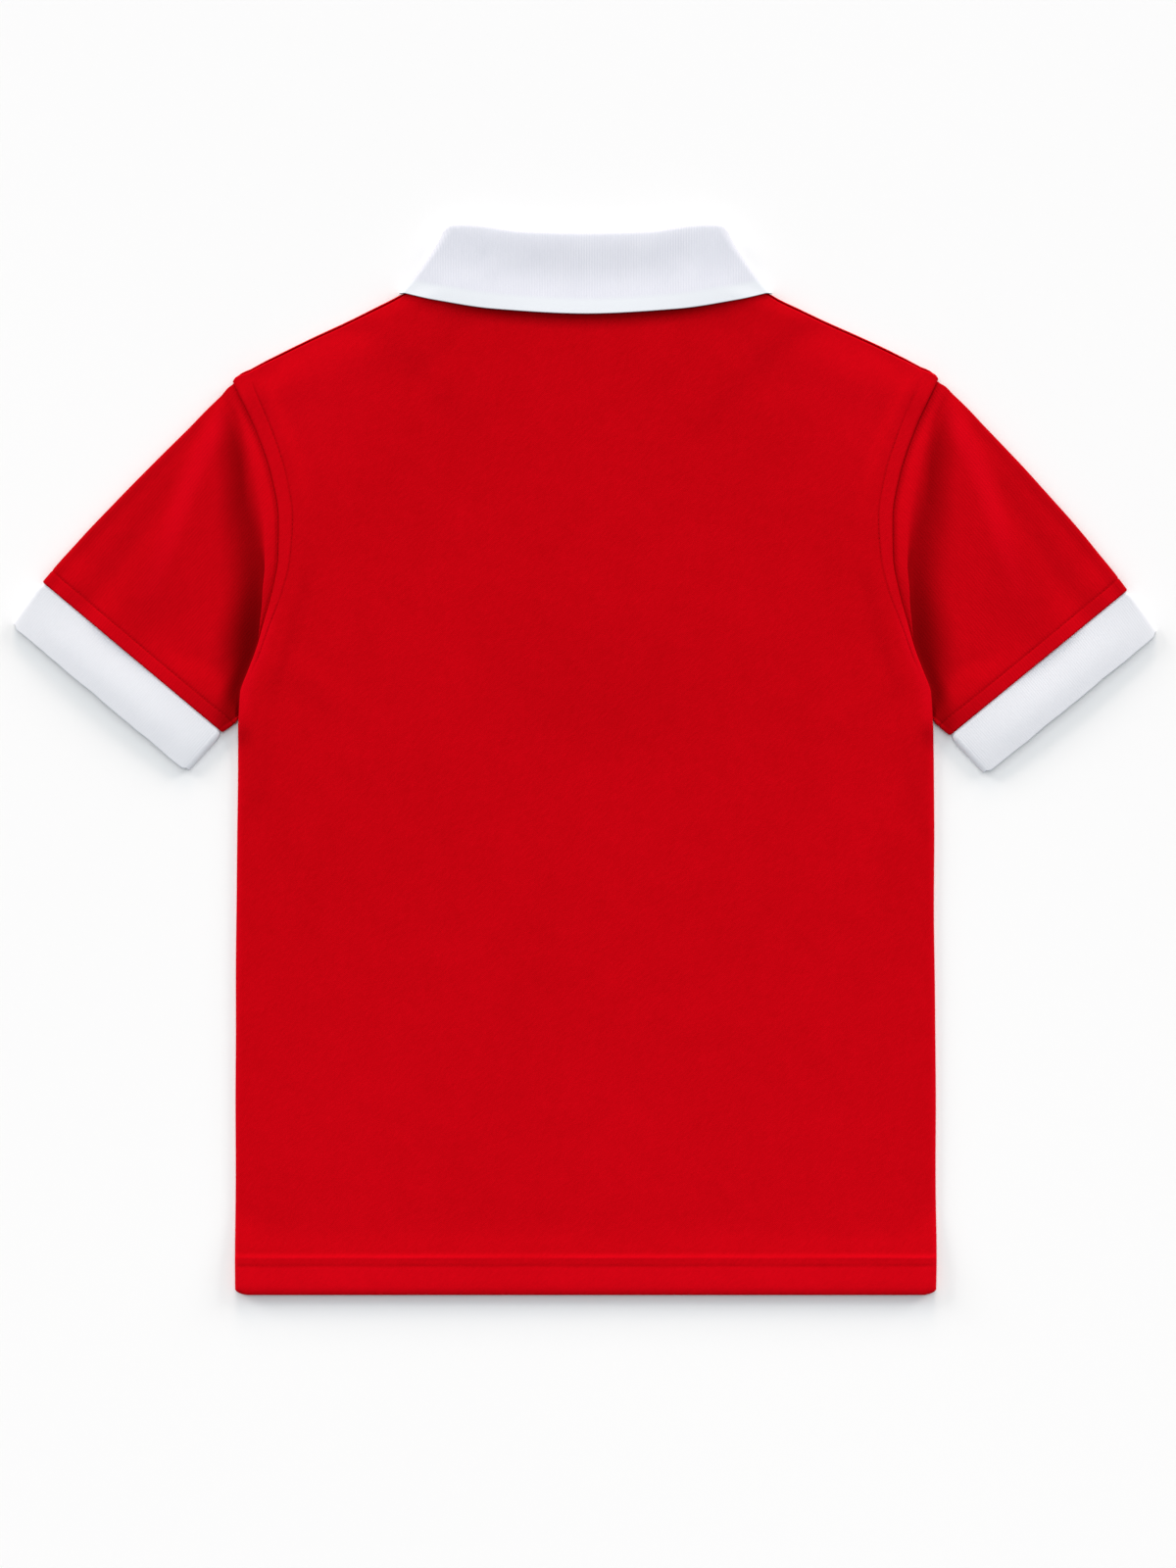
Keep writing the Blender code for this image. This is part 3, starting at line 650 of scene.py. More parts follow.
# Half the collar, from the centre of the back round to the front end. turn is 0 on the back, 90 on the side
# crease and 180 on the front, and lean is how far the fold's ridge leans in.
collarShape = table(
    "at neckAngle turn foldX foldY lean edgeX edgeY",
    [
        (-1.0, -27.0, 0, -35.0, 302.0, 0, -51.0, 258.8), (0.0, 0.0, 0, 0.0, 301.1, 0, 0.0, 256.1),
        (1.0, 27.0, 0, 35.0, 302.0, 0, 51.0, 258.8), (1.8, 60.0, 0, 68.5, 305.9, 0, 89.0, 264.6),
        (2.0, 76.0, 0, 76.0, 305.8, 4, 103.6, 268.1),
        (2.5, 76.0, 90, 77.9, 302.8, 24, 104.4, 268.0),
        (3.0, 76.0, 180, 76.6, 301.8, 32, 102.4, 268.3),
        (3.1, 76.0, 180, 70.0, 297.3, 42, 97.0, 263.0),
        (3.4, 60.0, 180, 61.0, 288.5, 46, 84.0, 247.5),
        (4.2, 44.0, 180, 46.0, 270.0, 48, 64.0, 225.5),
        (5.0, 27.0, 180, 26.0, 252.5, 36, 46.0, 206.0),
        (6.0, 0.5, 180, 1.0, 243.0, 12, 30.0, 189.5),
    ],
)
collarCurves = {key: Curve(collarShape, "at", key) for key in collarShape[0] if key != "at"}


backLeafEdge = Curve([row for row in collarShape if row["at"] <= 2], "edgeX", "edgeY")


def beyondFrontLeaf(x, y):  # how far outside the collar leaf that is under the front
    end, corner = collarShape[-1], collarShape[5]
    outer = fromLine(abs(x), y, end["edgeX"], end["edgeY"], corner["edgeX"], corner["edgeY"])
    centre = fromLine(abs(x), y, end["foldX"], end["foldY"], end["edgeX"], end["edgeY"])
    return max(outer, centre)


def foldsAt(x, y):
    total = 0.0
    for fold in softFolds:
        if fold["x0"] * x < 0:
            continue
        dx, dy = fold["x1"] - fold["x0"], fold["y1"] - fold["y0"]
        length = hypot(dx, dy)
        along = ((x - fold["x0"]) * dx + (y - fold["y0"]) * dy) / length
        if not 0 < along < length:
            continue
        bend = 3.0 * sin(along / length * 5 + fold["width"])
        across = fromLine(x, y, fold["x0"], fold["y0"], fold["x1"], fold["y1"]) + bend
        ends = ramp(along, 0, 0.35 * length) * (1 - ramp(along, 0.65 * length, length))
        total += fold["height"] * ends * hump(across, 0, fold["width"])
    return total


def frontLevel(x, y):  # middle of the front's wall
    overLeaf = liftOverCollar * (1 - ramp(beyondFrontLeaf(x, y), 14, 34))
    overButtons = liftOverButton * (1 - ramp(abs(x), 16, 42))
    overButtons *= ramp(y, placket["endY"] - 26, placket["endY"] - 2)
    return frontMid + highest(overLeaf, overButtons)


def backLevel(x, y):  # middle of the back's wall, up over sleeves, hems, placket and collar
    side = halfWidth(y) - abs(x)
    shoulder = (shoulderY[-1](abs(x)) - y) * 0.9
    edge = min(side, shoulder, y - body["hemY"])
    neckPoint = hypot(abs(x) - body["neckHalf"], y - body["neckPointY"])
    air = 1.5 * ramp(edge, 0, 22)
    overSleeve = lerp(ramp(y, 8, 21), ramp(y, -60, 21), ramp(side, 0, 12))
    overSleeve *= (tuckedTop - frontMid) * (1 - ramp(side, 12.5, 28 + 10 * (1 - ramp(y, -60, 30))))
    rise = y - body["hemY"]
    hems = 2 * layer * (1 - 0.2 * ramp(rise, 21, 24.4) - 0.8 * ramp(rise, 20, 52))
    spread = max(ramp(shoulder, 0, 8), 1 - ramp(neckPoint, 8, 22))
    collar = (liftOverCollar + 0.8 * spread) * (1 - ramp(beyondFrontLeaf(x, y), 16, 42))
    overPlacket = (liftOverButton + layer + 0.1) * (1 - ramp(abs(x), 22, 116))
    overPlacket *= ramp(y, -50, 98) * (1 - 0.33 * ramp(y, 238, 275))
    seamRoll = 0.8 * ramp(shoulder, 0, 15) * (1 - ramp(shoulder, 15, 36)) * ramp(abs(x), 96, 118)
    level = frontMid + layer + highest(air, overSleeve, hems, collar, overPlacket)
    return level + foldsAt(x, y) + seamRoll


neckAngles = [0, 3.5, 7.5, 11, 15, 19, 23, 27, 31, 35, 39.5, 44, 48, 52, 56, 60, 64, 68, 72, 76, 80, 84.5, 90]
nearEdge = [24, 21.5, 18.5, 16, 14, 12.5, 11, 9.9, 9.2, 8.7, 8.2, 7.7, 7.2, 6.5, 5.5, 4, 2.6, 1.6, 0.95, 0.6]
nearEdge += [0.3, 0.1, 0]
halfColumns = [body["neckHalf"] * sin(radians(angle)) for angle in neckAngles]
halfColumns += steps(body["neckHalf"], body["tipX"] - 24, 26)[1:-1]
halfColumns += [body["tipX"] - inset for inset in nearEdge]
panelColumns = [-x for x in reversed(halfColumns[1:])] + halfColumns

aboveHem = [3, 5, 8, 11, 13.5, 15, 15.7, 16.2, 16.7, 17.2, 17.7, 18.4, 19.3, 20.3, 21.1, 21.8, 22.5, 23.2]
aboveHem += [24, 25, 26.5, 28.5, 31, 34, 38, 43]
belowTop = [7.5, 5, 3.6, 2.6, 1.8, 1.2, 0.8, 0.5, 0.25, 0.08, 0]
panelRows = [body["hemY"] + rise for rise in aboveHem]
panelRows += steps(body["hemY"] + 48, 60, 64) + steps(60, body["tipY"] - 11, 33)[1:]
panelRows += [body["tipY"] - fall for fall in belowTop]
slotRow = min(range(len(panelRows)), key=lambda i: abs(panelRows[i] - placket["endY"]))
panelRows[slotRow] = placket["endY"]


def fromSide(edgeIn, y):  # the columns near the edge keep their distance, and bunch up on the stitch line
    inset = stitchInset(y)
    if edgeIn <= 2:
        return edgeIn
    if edgeIn <= 8.2:
        return lerp(2, inset, (edgeIn - 2) / 6.2)
    if edgeIn <= 18:
        return lerp(inset, 18, (edgeIn - 8.2) / 9.8)
    return edgeIn


def bodyPanel(name, neckY, level, inwards, topDrop, keep=None):
    # inwards is 1 where the hem turns up above the panel and -1 where below
    foldRadius = layer / 2
    foldY = body["hemY"] + foldRadius + cloth["body"] / 2
    planned = {}

    def plan(topX, rowY):
        if (topX, rowY) in planned:
            return planned[topX, rowY]
        sign, top = sideOf(topX), abs(topX)
        edgeIn = body["tipX"] - top
        spread = (halfWidth(rowY) - body["neckHalf"]) / (body["tipX"] - body["neckHalf"])
        if edgeIn < 24:
            scale = lerp(1, spread, ramp(edgeIn, 10, 24))
            x = halfWidth(rowY) - fromSide(edgeIn, rowY) * scale
        else:
            x = min(top, body["neckHalf"]) + max(top - body["neckHalf"], 0) * spread
        topY = (neckY(top) if top < body["neckHalf"] else shoulderY[sign](top)) - cloth["gap"] / 2
        tip = max(body["tipRound"] - edgeIn, 0)
        topY -= topDrop * ramp(top, 100, 106) * (1 - ramp(top, 197, 202))
        topY -= body["tipRound"] - sqrt(body["tipRound"] ** 2 - 0.8 * tip**2)
        bend = max(rowY - body["straightUpTo"], 0) / (body["tipY"] - body["straightUpTo"])
        wave = 0.35 * uneven(rowY + 40 * sign, 37.0) * (1 - ramp(edgeIn, 0, 30)) * (1 - ramp(rowY, 0, 40))
        planned[topX, rowY] = sign * (x + wave), rowY + (topY - body["tipY"]) * bend**2
        return planned[topX, rowY]

    def cornerLift(x):
        long, high = body["hemCorner"]
        into = max(abs(x) - halfWidth(body["hemY"]) + long, 0) / long
        return high * (1 - sqrt(max(1 - 0.92 * into**2, 0)))

    def place(topX, row, out):
        kind, value = row
        outwards = -inwards * out
        if kind == "main":
            x, y = plan(topX, value)
            return x, y, level(x, y) + outwards
        if kind == "lip":  # the front's edge rolled up over the shoulder seam
            x, y = plan(topX, body["tipY"])
            size = ramp(abs(topX), 100, 106) * (1 - ramp(abs(topX), 197, 202))
            reach = (foldRadius + out) * size
            middle = level(x, y) + inwards * foldRadius
            rolledZ = middle - inwards * (foldRadius + out) * cos(value)
            return x, y + reach * sin(value), lerp(level(x, y) - inwards * out, rolledZ, size)
        if kind == "inside":
            x, y = plan(topX, value)
            return x, y, level(x, y) + inwards * layer - outwards
        reach = foldRadius + out
        x, y = plan(topX, foldY)
        z = level(x, foldY) + inwards * (foldRadius - reach * cos(value))
        return x, y - reach * sin(value) + cornerLift(x), z

    def rim(topX, row):
        kind, value = row
        if kind == "lip":
            return min(body["tipX"] - abs(topX), 30.0)
        side = body["tipX"] - abs(topX)
        top = (body["tipY"] - value) * 1.3 if kind == "main" else 30.0
        if kind == "main" and inwards > 0 and abs(topX) > 103:
            top = 30.0
        return min(side, top)

    def onFlat(effect):  # nothing on the folds; on the flat, effect(x, y, from the side, above the hem)
        def at(topX, row):
            if row[0] != "main":
                return 0.0
            x, y = plan(topX, row[1])
            return effect(x, y, halfWidth(y) - abs(x), y - body["hemY"])

        return at

    def armholeLineAt(y, side, half):
        return ramp(y, 48, 60) * (1 - ramp(y, 214, 218)) * hump(side, stitchInset(y), half)

    def relief(x, y, side, rise):
        deep = body["troughDeep"] * (0.8 + 0.3 * uneven(y + x, 9.0))
        armhole = armholeLineAt(y, side, body["troughHalf"])
        hem = hump(rise, body["hemStitch"], 1.7) * 0.5 * ramp(side, 0.5, 3)
        total = -deep * max(armhole, hem)
        ridge = hump(rise, body["hemRidge"], 1.8) * (0.10 + 0.08 * uneven(x, 21.0))
        ridge += 0.4 * (1 - ramp(rise, 5, 16)) * ramp(rise, 0, 4)
        total += ridge * ramp(side, 0, 4) if inwards < 0 else 0.0
        beside = hump(side, stitchInset(y), 6) * ramp(y, 48, 70) + 0.8 * hump(rise, body["hemStitch"], 6)
        along = y * 1.0 + x * 0.9
        total += body["pucker"] * beside * uneven(along, 1.55) * 0.7
        return min(total, 0.0) if inwards > 0 else total

    # painted shade in the stitch lines of the armhole and the hem, and a painted shadow on the back under the edge of
    # the collar's leaf
    def shade(x, y, side, rise):
        armhole = armholeLineAt(y, side, 0.8)
        hem = (0.25 + 0.2 * uneven(x, 17.0)) * hump(rise, body["hemStitch"], 1.6)
        collar = (1 - ramp(backLeafEdge(abs(x)) - y, 1, 6)) * (1 - ramp(abs(x), 40, 98)) * (inwards < 0)
        return max(0.25 * armhole, 0.25 * hem, 0.46 * collar)

    def pale(x, y, side, rise):  # painted highlights on the hem, the strip beside the armhole, the top of the shoulder and the side edges, and the low back a little lighter
        if inwards > 0:
            return 0.0
        hem = 0.24 * (1 - ramp(rise, 15, 16.5)) * (1 + 0.2 * uneven(x, 33.0))
        hem += 0.34 * hump(rise, body["hemRidge"], 1.4) * (1 + 0.5 * uneven(x, 26.0)) * ramp(side, 0, 5)
        strip = 0.16 * (1 - ramp(side, stitchInset(y) - 1.5, stitchInset(y))) * ramp(y, 60, 100)
        top = 0.16 * ramp(y, 120, 214) * ramp(abs(x), 96, 150)
        edge = 0.34 * (1 - ramp(side, 1.0, 3.6)) * (1 - ramp(y, 10, 50))
        low = 0.08 * (1 - ramp(y, -220, -60))
        low = max(low, 0.42 * (1 - ramp(side, 1.5, 10)) * ramp(y, 8, 40) * (1 - ramp(y, 70, 105)))
        return max(hem, strip, top, edge, low)

    def mapAt(topX, row):
        kind, value = row
        if kind == "main":
            return plan(topX, value)
        if kind == "lip":
            x, y = plan(topX, body["tipY"])
            return x, y + value * foldRadius
        x, y = plan(topX, foldY)
        return (x, y - (pi - value) * foldRadius) if kind == "arc" else (x, 2 * foldY - value)

    rises = [body["turnUp"], body["turnUp"] - 0.3, body["turnUp"] - 1, 15, 11, 7, 4]
    turnedUp = [("inside", body["hemY"] + rise) for rise in rises]
    arc = [("arc", pi * step / 8) for step in range(8, -1, -1)]
    rows = turnedUp + arc + [("main", y) for y in panelRows]
    if inwards > 0:
        rows += [("lip", radians(angle)) for angle in (22, 45, 68, 90, 112, 134, 152)]
    return clothShell(
        name, panelColumns, rows, cloth["body"], cloth["turnedEdge"], place, rim, mapAt,
        onFlat(relief), onFlat(shade), onFlat(pale), keep,
    )


def outsideSlot(topXs, rows):  # leaves out the front's faces where the placket goes
    inWidth = max(abs(x) for x in topXs) < placket["slot"] + 0.1
    lowest = min(y if kind == "main" else (999 if kind == "lip" else -999) for kind, y in rows)
    return not (inWidth and lowest > placket["endY"] - 0.1)


backPanel = dress(
    bodyPanel("backPanel", backNeckY, backLevel, -1, topDrop=body["lip"] + cloth["gap"]),
    "bodyPique", "red_pique", "back",
)
frontPanel = dress(
    bodyPanel("frontPanel", frontNeckY, frontLevel, 1, topDrop=body["lip"], keep=outsideSlot),
    "bodyPique", "red_pique", "front",
)


print("stage 4: placket")

strip = {"stitchIn": 3.2, "boxHigh": 26.0, "troughDeep": 0.3}


def stripBottom():
    return placket["endY"] + 4 * cloth["gap"]


def placketStrip(name, raised, node):
    half = placket["half"]
    edges = [0, 0.1, 0.3, 0.6, 0.95, 1.6, 2.3, 2.8, 3.2, 3.6, 4.1, 5]
    acrossHalf = [half - inset for inset in edges] + [half - 7, 4.5, 2.2]
    columns = sorted([-x for x in acrossHalf] + [0.0] + acrossHalf)
    long = 122.0
    downs = edges + [7, 10, 14, 18, 22, 24.5, 25.4, 26, 26.6, 27.5, 30] + steps(34, 110, 24)
    downs += [114, 118, 120, 121.2, 121.7, 122]
    rows = [down / long for down in downs]

    def place(x, share, out):
        y = lerp(stripBottom(), frontNeckY(x) - 2 * cloth["gap"], share)
        return x, y, frontLevel(x, y) + raised - out

    def rim(x, share):
        return min(half - abs(x), share * long, (1 - share) * long)

    def relief(x, share):
        if raised:
            return 0.0
        down = share * long
        lines = hump(half - abs(x), strip["stitchIn"], 0.9)
        inside = half - abs(x) > strip["stitchIn"] - 0.3
        across = max(hump(down, strip["stitchIn"], 0.9), hump(down, strip["boxHigh"], 0.9)) * inside
        return -strip["troughDeep"] * max(lines, across)

    # painted shade in the stitch troughs
    def shade(x, share):
        return 0.0 if raised else 0.25 * ramp(-relief(x, share), 0.1, 0.3)

    def mapAt(x, share):
        return x, share * long

    piece = clothShell(
        name, columns, rows, cloth["body"], cloth["turnedEdge"], place, rim, mapAt, relief, shade
    )
    return dress(piece, "bodyPique", "red_pique", node)


upperPlacket = placketStrip("upperPlacket", 0.0, "placket_upper")
underPlacket = placketStrip("underPlacket", layer, "placket_under")


print("stage 5: sleeves")

sleeve = {
    "tuck": 8.0,  # seam allowance under the body
    "valley": {-1: 1.13, 1: 0.97},  # how dark the painted shade in the valley beside the armhole is
    "armholeTopY": 216.0,
    "armholeEndY": 26.0,
    "freeTop": frontMid + 2.0,
    "puff": 3.9,  # the soft ridge down the sleeve
    "overhang": 1.3,  # of the long fold beside the armhole
    "stitchUp": 8.4,  # of the topstitching above the cuff's seam
    "flatEnd": 9.6,  # the part that lies evenly over the cuff's seam
}
cuff = {
    "tuck": 6.0,
    # at the shoulder's side and at the underarm's, on the left and on the right
    "seam": {-1: ((311.9, 102.6), (208.6, 16.1)), 1: ((311.3, 97.9), (209.2, 14.4))},
    "edge": {-1: ((330.2, 76.4), (230.4, -8.0)), 1: ((328.8, 73.0), (231.2, -9.3))},
    "bottomInSleeve": cloth["body"] + cloth["gap"] + ribMid,
    "loop": 1.8,
    "puff": 0.5,
    "gape": 1.7,  # how much its open end stands apart
    "ribs": 92,
    "ribRaise": 0.055,
    "corner": 3.2,
    "long": 30.6,
}
coverTop = cuff["bottomInSleeve"] + cuff["loop"] + ribMid + cloth["gap"] + cloth["body"] / 2

# The sleeve's long fold. From the seam out: where it breaks, over what length it falls, how long the valley
# beside it stays low and in painted shade, over what length that shade fades, how high the fold stands, how
# steeply it falls, and how dark the valley's painted shade is, which also sinks it.
sleeveFold = table(
    "seamY breakAt fall dark fade rise steep shade",
    [
        (216.0, 5.0, 14.0, 1.0, 8.0, 0.0, 0.0, 0.0), (205.0, 5.5, 9.0, 2.0, 12.0, 0.4, 0.0, 0.30),
        (190.0, 8.0, 9.0, 3.0, 15.0, 1.2, 0.0, 0.52),
        (163.0, 10.8, 12.0, 4.0, 18.0, 2.5, 0.0, 0.50),
        (133.0, 10.0, 9.0, 5.0, 22.0, 3.3, 0.35, 0.54),
        (110.0, 9.2, 5.5, 6.0, 25.0, 3.2, 1.0, 0.66), (88.0, 4.8, 5.0, 7.0, 27.0, 2.0, 1.0, 0.80),
        (66.0, 0.9, 5.0, 6.0, 24.0, 0.6, 1.0, 0.86), (46.0, 0.9, 5.0, 7.0, 23.0, 0.2, 1.0, 0.78),
        (26.0, 0.9, 5.0, 7.0, 24.0, 0.0, 1.0, 0.64),
    ],
)
tuckDirection = table(
    "share dx dy", [(0.0, -7.0, -2.0), (0.15, -8.0, 0.0), (0.85, -8.0, 1.5), (1.0, -6.0, 5.0)]
)
# How far the sleeve's upper edge bows out of the straight line from the shoulder tip to the cuff.
sleeveBow = table(
    "part left right",
    [
        (0.0, 0.0, 0.9), (0.06, -0.2, 1.9), (0.155, -0.45, 2.0), (0.25, 0.0, 2.6),
        (0.35, 0.6, 3.1), (0.45, 1.1, 3.5), (0.55, 1.45, 3.5), (0.65, 1.65, 3.5), (0.74, 1.8, 3.2),
        (0.84, 1.5, 2.3), (0.94, 0.55, 0.9), (1.0, 0.0, 0.0),
    ],
)
bowCurves = {-1: Curve(sleeveBow, "part", "left"), 1: Curve(sleeveBow, "part", "right")}
foldCurves = {column: Curve(sleeveFold, "seamY", column) for column in sleeveFold[0] if column != "seamY"}
tuckDx = Curve(tuckDirection, "share", "dx")
tuckDy = Curve(tuckDirection, "share", "dy")

seamEnds = [[(a + b) / 2 for a, b in zip(*points)] for points in zip(cuff["seam"][-1], cuff["seam"][1])]
acrossCuff = unit(*(b - a for a, b in zip(*seamEnds)))
backAcrossCuff = (-acrossCuff[0], -acrossCuff[1])
coverHalfLoop = (coverTop - frontMid) / 2
downSleeve = unit(seamEnds[0][0] - body["tipX"], seamEnds[0][1] - sleeve["armholeTopY"])
offShoulderEdge = (-downSleeve[1], downSleeve[0])
offShoulderTuck = (-0.27, 0.96)
offUnderarmEdge = (-0.70, -0.71)
tubeSideSteps = 8


def loopColumns(shares, upperShares=None):  # up the top wall, round one edge, back underneath, round the other
    upperShares = upperShares or shares
    turn = [step / tubeSideSteps for step in range(1, tubeSideSteps)]
    top = [("top", share) for share in upperShares]
    under = [("edge1", t) for t in turn]
    bottom = [("bottom", share) for share in reversed(shares)]
    shoulder = [("edge0", 1 - t) for t in turn]
    return top + under + bottom + shoulder + [("top", upperShares[0])]


def shareOf(column):  # how far across the tube it lies, from the shoulder's side
    kind, value = column
    return {"edge0": 0.0, "edge1": 1.0}.get(kind, value)


def tubePoint(column, centre, outwards0, outwards1, low, high, out):
    kind, value = column
    if kind == "top":
        return *centre(value), high(value) + out
    if kind == "bottom":
        return *centre(value), low(value) - out
    share, outwards = (1.0, outwards1) if kind == "edge1" else (0.0, outwards0)
    x, y = centre(share)
    radius = (high(share) - low(share)) / 2 + out
    reach = radius * sin(pi * value)
    z = (high(share) + low(share)) / 2 + radius * cos(pi * value)
    return x + outwards[0] * reach, y + outwards[1] * reach, z


def along(share, ends, inset):
    (x0, y0), (x1, y1) = ends
    length = hypot(x1 - x0, y1 - y0)
    at = lerp(inset / length, 1 - inset / length, share)
    return lerp(x0, x1, at), lerp(y0, y1, at)


def roundTube(column, length):  # how far round the tube a column lies, for the map
    return shareOf(column) * (length if column[0] in ("top", "edge1") else -length)


def foldedShares(count):  # close together at both ends
    return [(1 - cos(pi * i / count)) / 2 * 0.5 + 0.5 * i / count for i in range(count + 1)]


def ridgeAt(part):  # where across the sleeve its soft ridge lies, from the shoulder tip down
    return 0.03 + 0.33 * ramp(part, 0.08, 0.95)


def sleevePlace(sign):
    def armhole(share):
        y = lerp(sleeve["armholeTopY"], sleeve["armholeEndY"], share)
        return halfWidth(y), y

    def cuffEnd(share):
        return along(share, cuff["seam"][sign], coverHalfLoop + cloth["body"] / 2)

    def reach(share):
        (x0, y0), (x1, y1) = armhole(share), cuffEnd(share)
        return hypot(x1 - x0, y1 - y0)

    folds = {}

    def fold(share):  # the long fold's sizes on the line that starts here, and how much room there is for it
        if share not in folds:
            near = min(1.0, (reach(share) - sleeve["flatEnd"]) / 50)
            sizes = {column: curve(armhole(share)[1]) for column, curve in foldCurves.items()}
            folds[share] = sizes, sizes["breakAt"] * near, sizes["fall"] * near, near
        return folds[share]

    def distance(share, station):
        kind, value = station
        sizes, breaks, falls, near = fold(share)
        if kind == "tuck":
            return value
        if kind == "strip":
            return breaks * value
        if kind == "fall":
            return breaks + falls * value
        flat = sleeve["flatEnd"]
        if kind == "cuff":
            return reach(share) - min(value, flat) - max(value - flat, 0) * near
        return lerp(breaks + falls, reach(share) - flat - (24 - flat) * near, value)

    def place(column, station, out):
        share = shareOf(column)
        down = planDown = distance(share, station)
        sizes, breaks, falls, near = fold(share)
        length = reach(share)
        left = length - down
        falling = min(max((down - breaks) / falls, 0), 1)
        if column[0] == "top" and 0 < falling < 1:  # steeper from the fold, even a little back under it
            pulled = falls * falling**2.1 - sleeve["overhang"] * sin(pi * falling) * (1 - falling)
            planDown = lerp(down, breaks + pulled, sizes["steep"] * near)

        def centre(at):
            (x0, y0), (x1, y1), long = armhole(at), cuffEnd(at), reach(at)
            if down < 0:
                back = -down / sleeve["tuck"]
                return x0 + tuckDx(at) * back, y0 + tuckDy(at) * back
            bow = bowCurves[sign](down / long) * (1 - at)
            x, y = lerp(x0, x1, planDown / long), lerp(y0, y1, planDown / long)
            return x + bow * 0.7, y + bow * 0.7

        def low(at):
            return frontMid + layer * (1 - ramp(down, 1.2, 5.0))

        def high(at):
            part = max(down / length, 0)
            ridge = ridgeAt(part)
            upper = 1 - 0.5 * ramp(ridge - at, 0, max(ridge, 0.06))
            lower = 1 - ramp(at - ridge, 0, 0.20 + 0.5 * part)
            puff = sleeve["puff"] * (upper if at < ridge else lower) * ramp(down, 0, 30)
            puff *= 1 + 0.05 * uneven(at * 9 + sign + part * 4, 1.3)
            puff -= 0.8 * hump(at, 0.5 * ridge, 0.4 * ridge + 0.01) * ramp(part, 0.2, 0.5)
            rises = ramp(down, min(1.2, 0.3 * breaks), max(0.85 * breaks, 1))
            strip = tuckedTop - sleeve["freeTop"] + sizes["rise"] * rises
            strip *= 1 - ramp(falling, 0, 0.9)
            cover = (coverTop - sleeve["freeTop"]) * (1 - ramp(left, 9, 23 + 22 * (1 - at)))
            cover *= ramp(down, 0, 3)
            valley = hump(down, breaks + falls + sizes["dark"] / 2, falls + sizes["dark"])
            return sleeve["freeTop"] + highest(strip, cover, puff) - 0.8 * sizes["shade"] * valley

        offTuck, offCuff = 1 - ramp(down, -sleeve["tuck"], 2), 1 - ramp(left, 0, 20)
        off0 = [lerp(a, b, offTuck) for a, b in zip(offShoulderEdge, offShoulderTuck)]
        off0 = [lerp(a, b, offCuff) for a, b in zip(off0, backAcrossCuff)]
        off1 = [lerp(a, b, offCuff) for a, b in zip(offUnderarmEdge, acrossCuff)]
        x, y, z = tubePoint(column, centre, unit(*off0), unit(*off1), low, high, out)
        return sign * x, y, z

    return place, distance, fold, reach


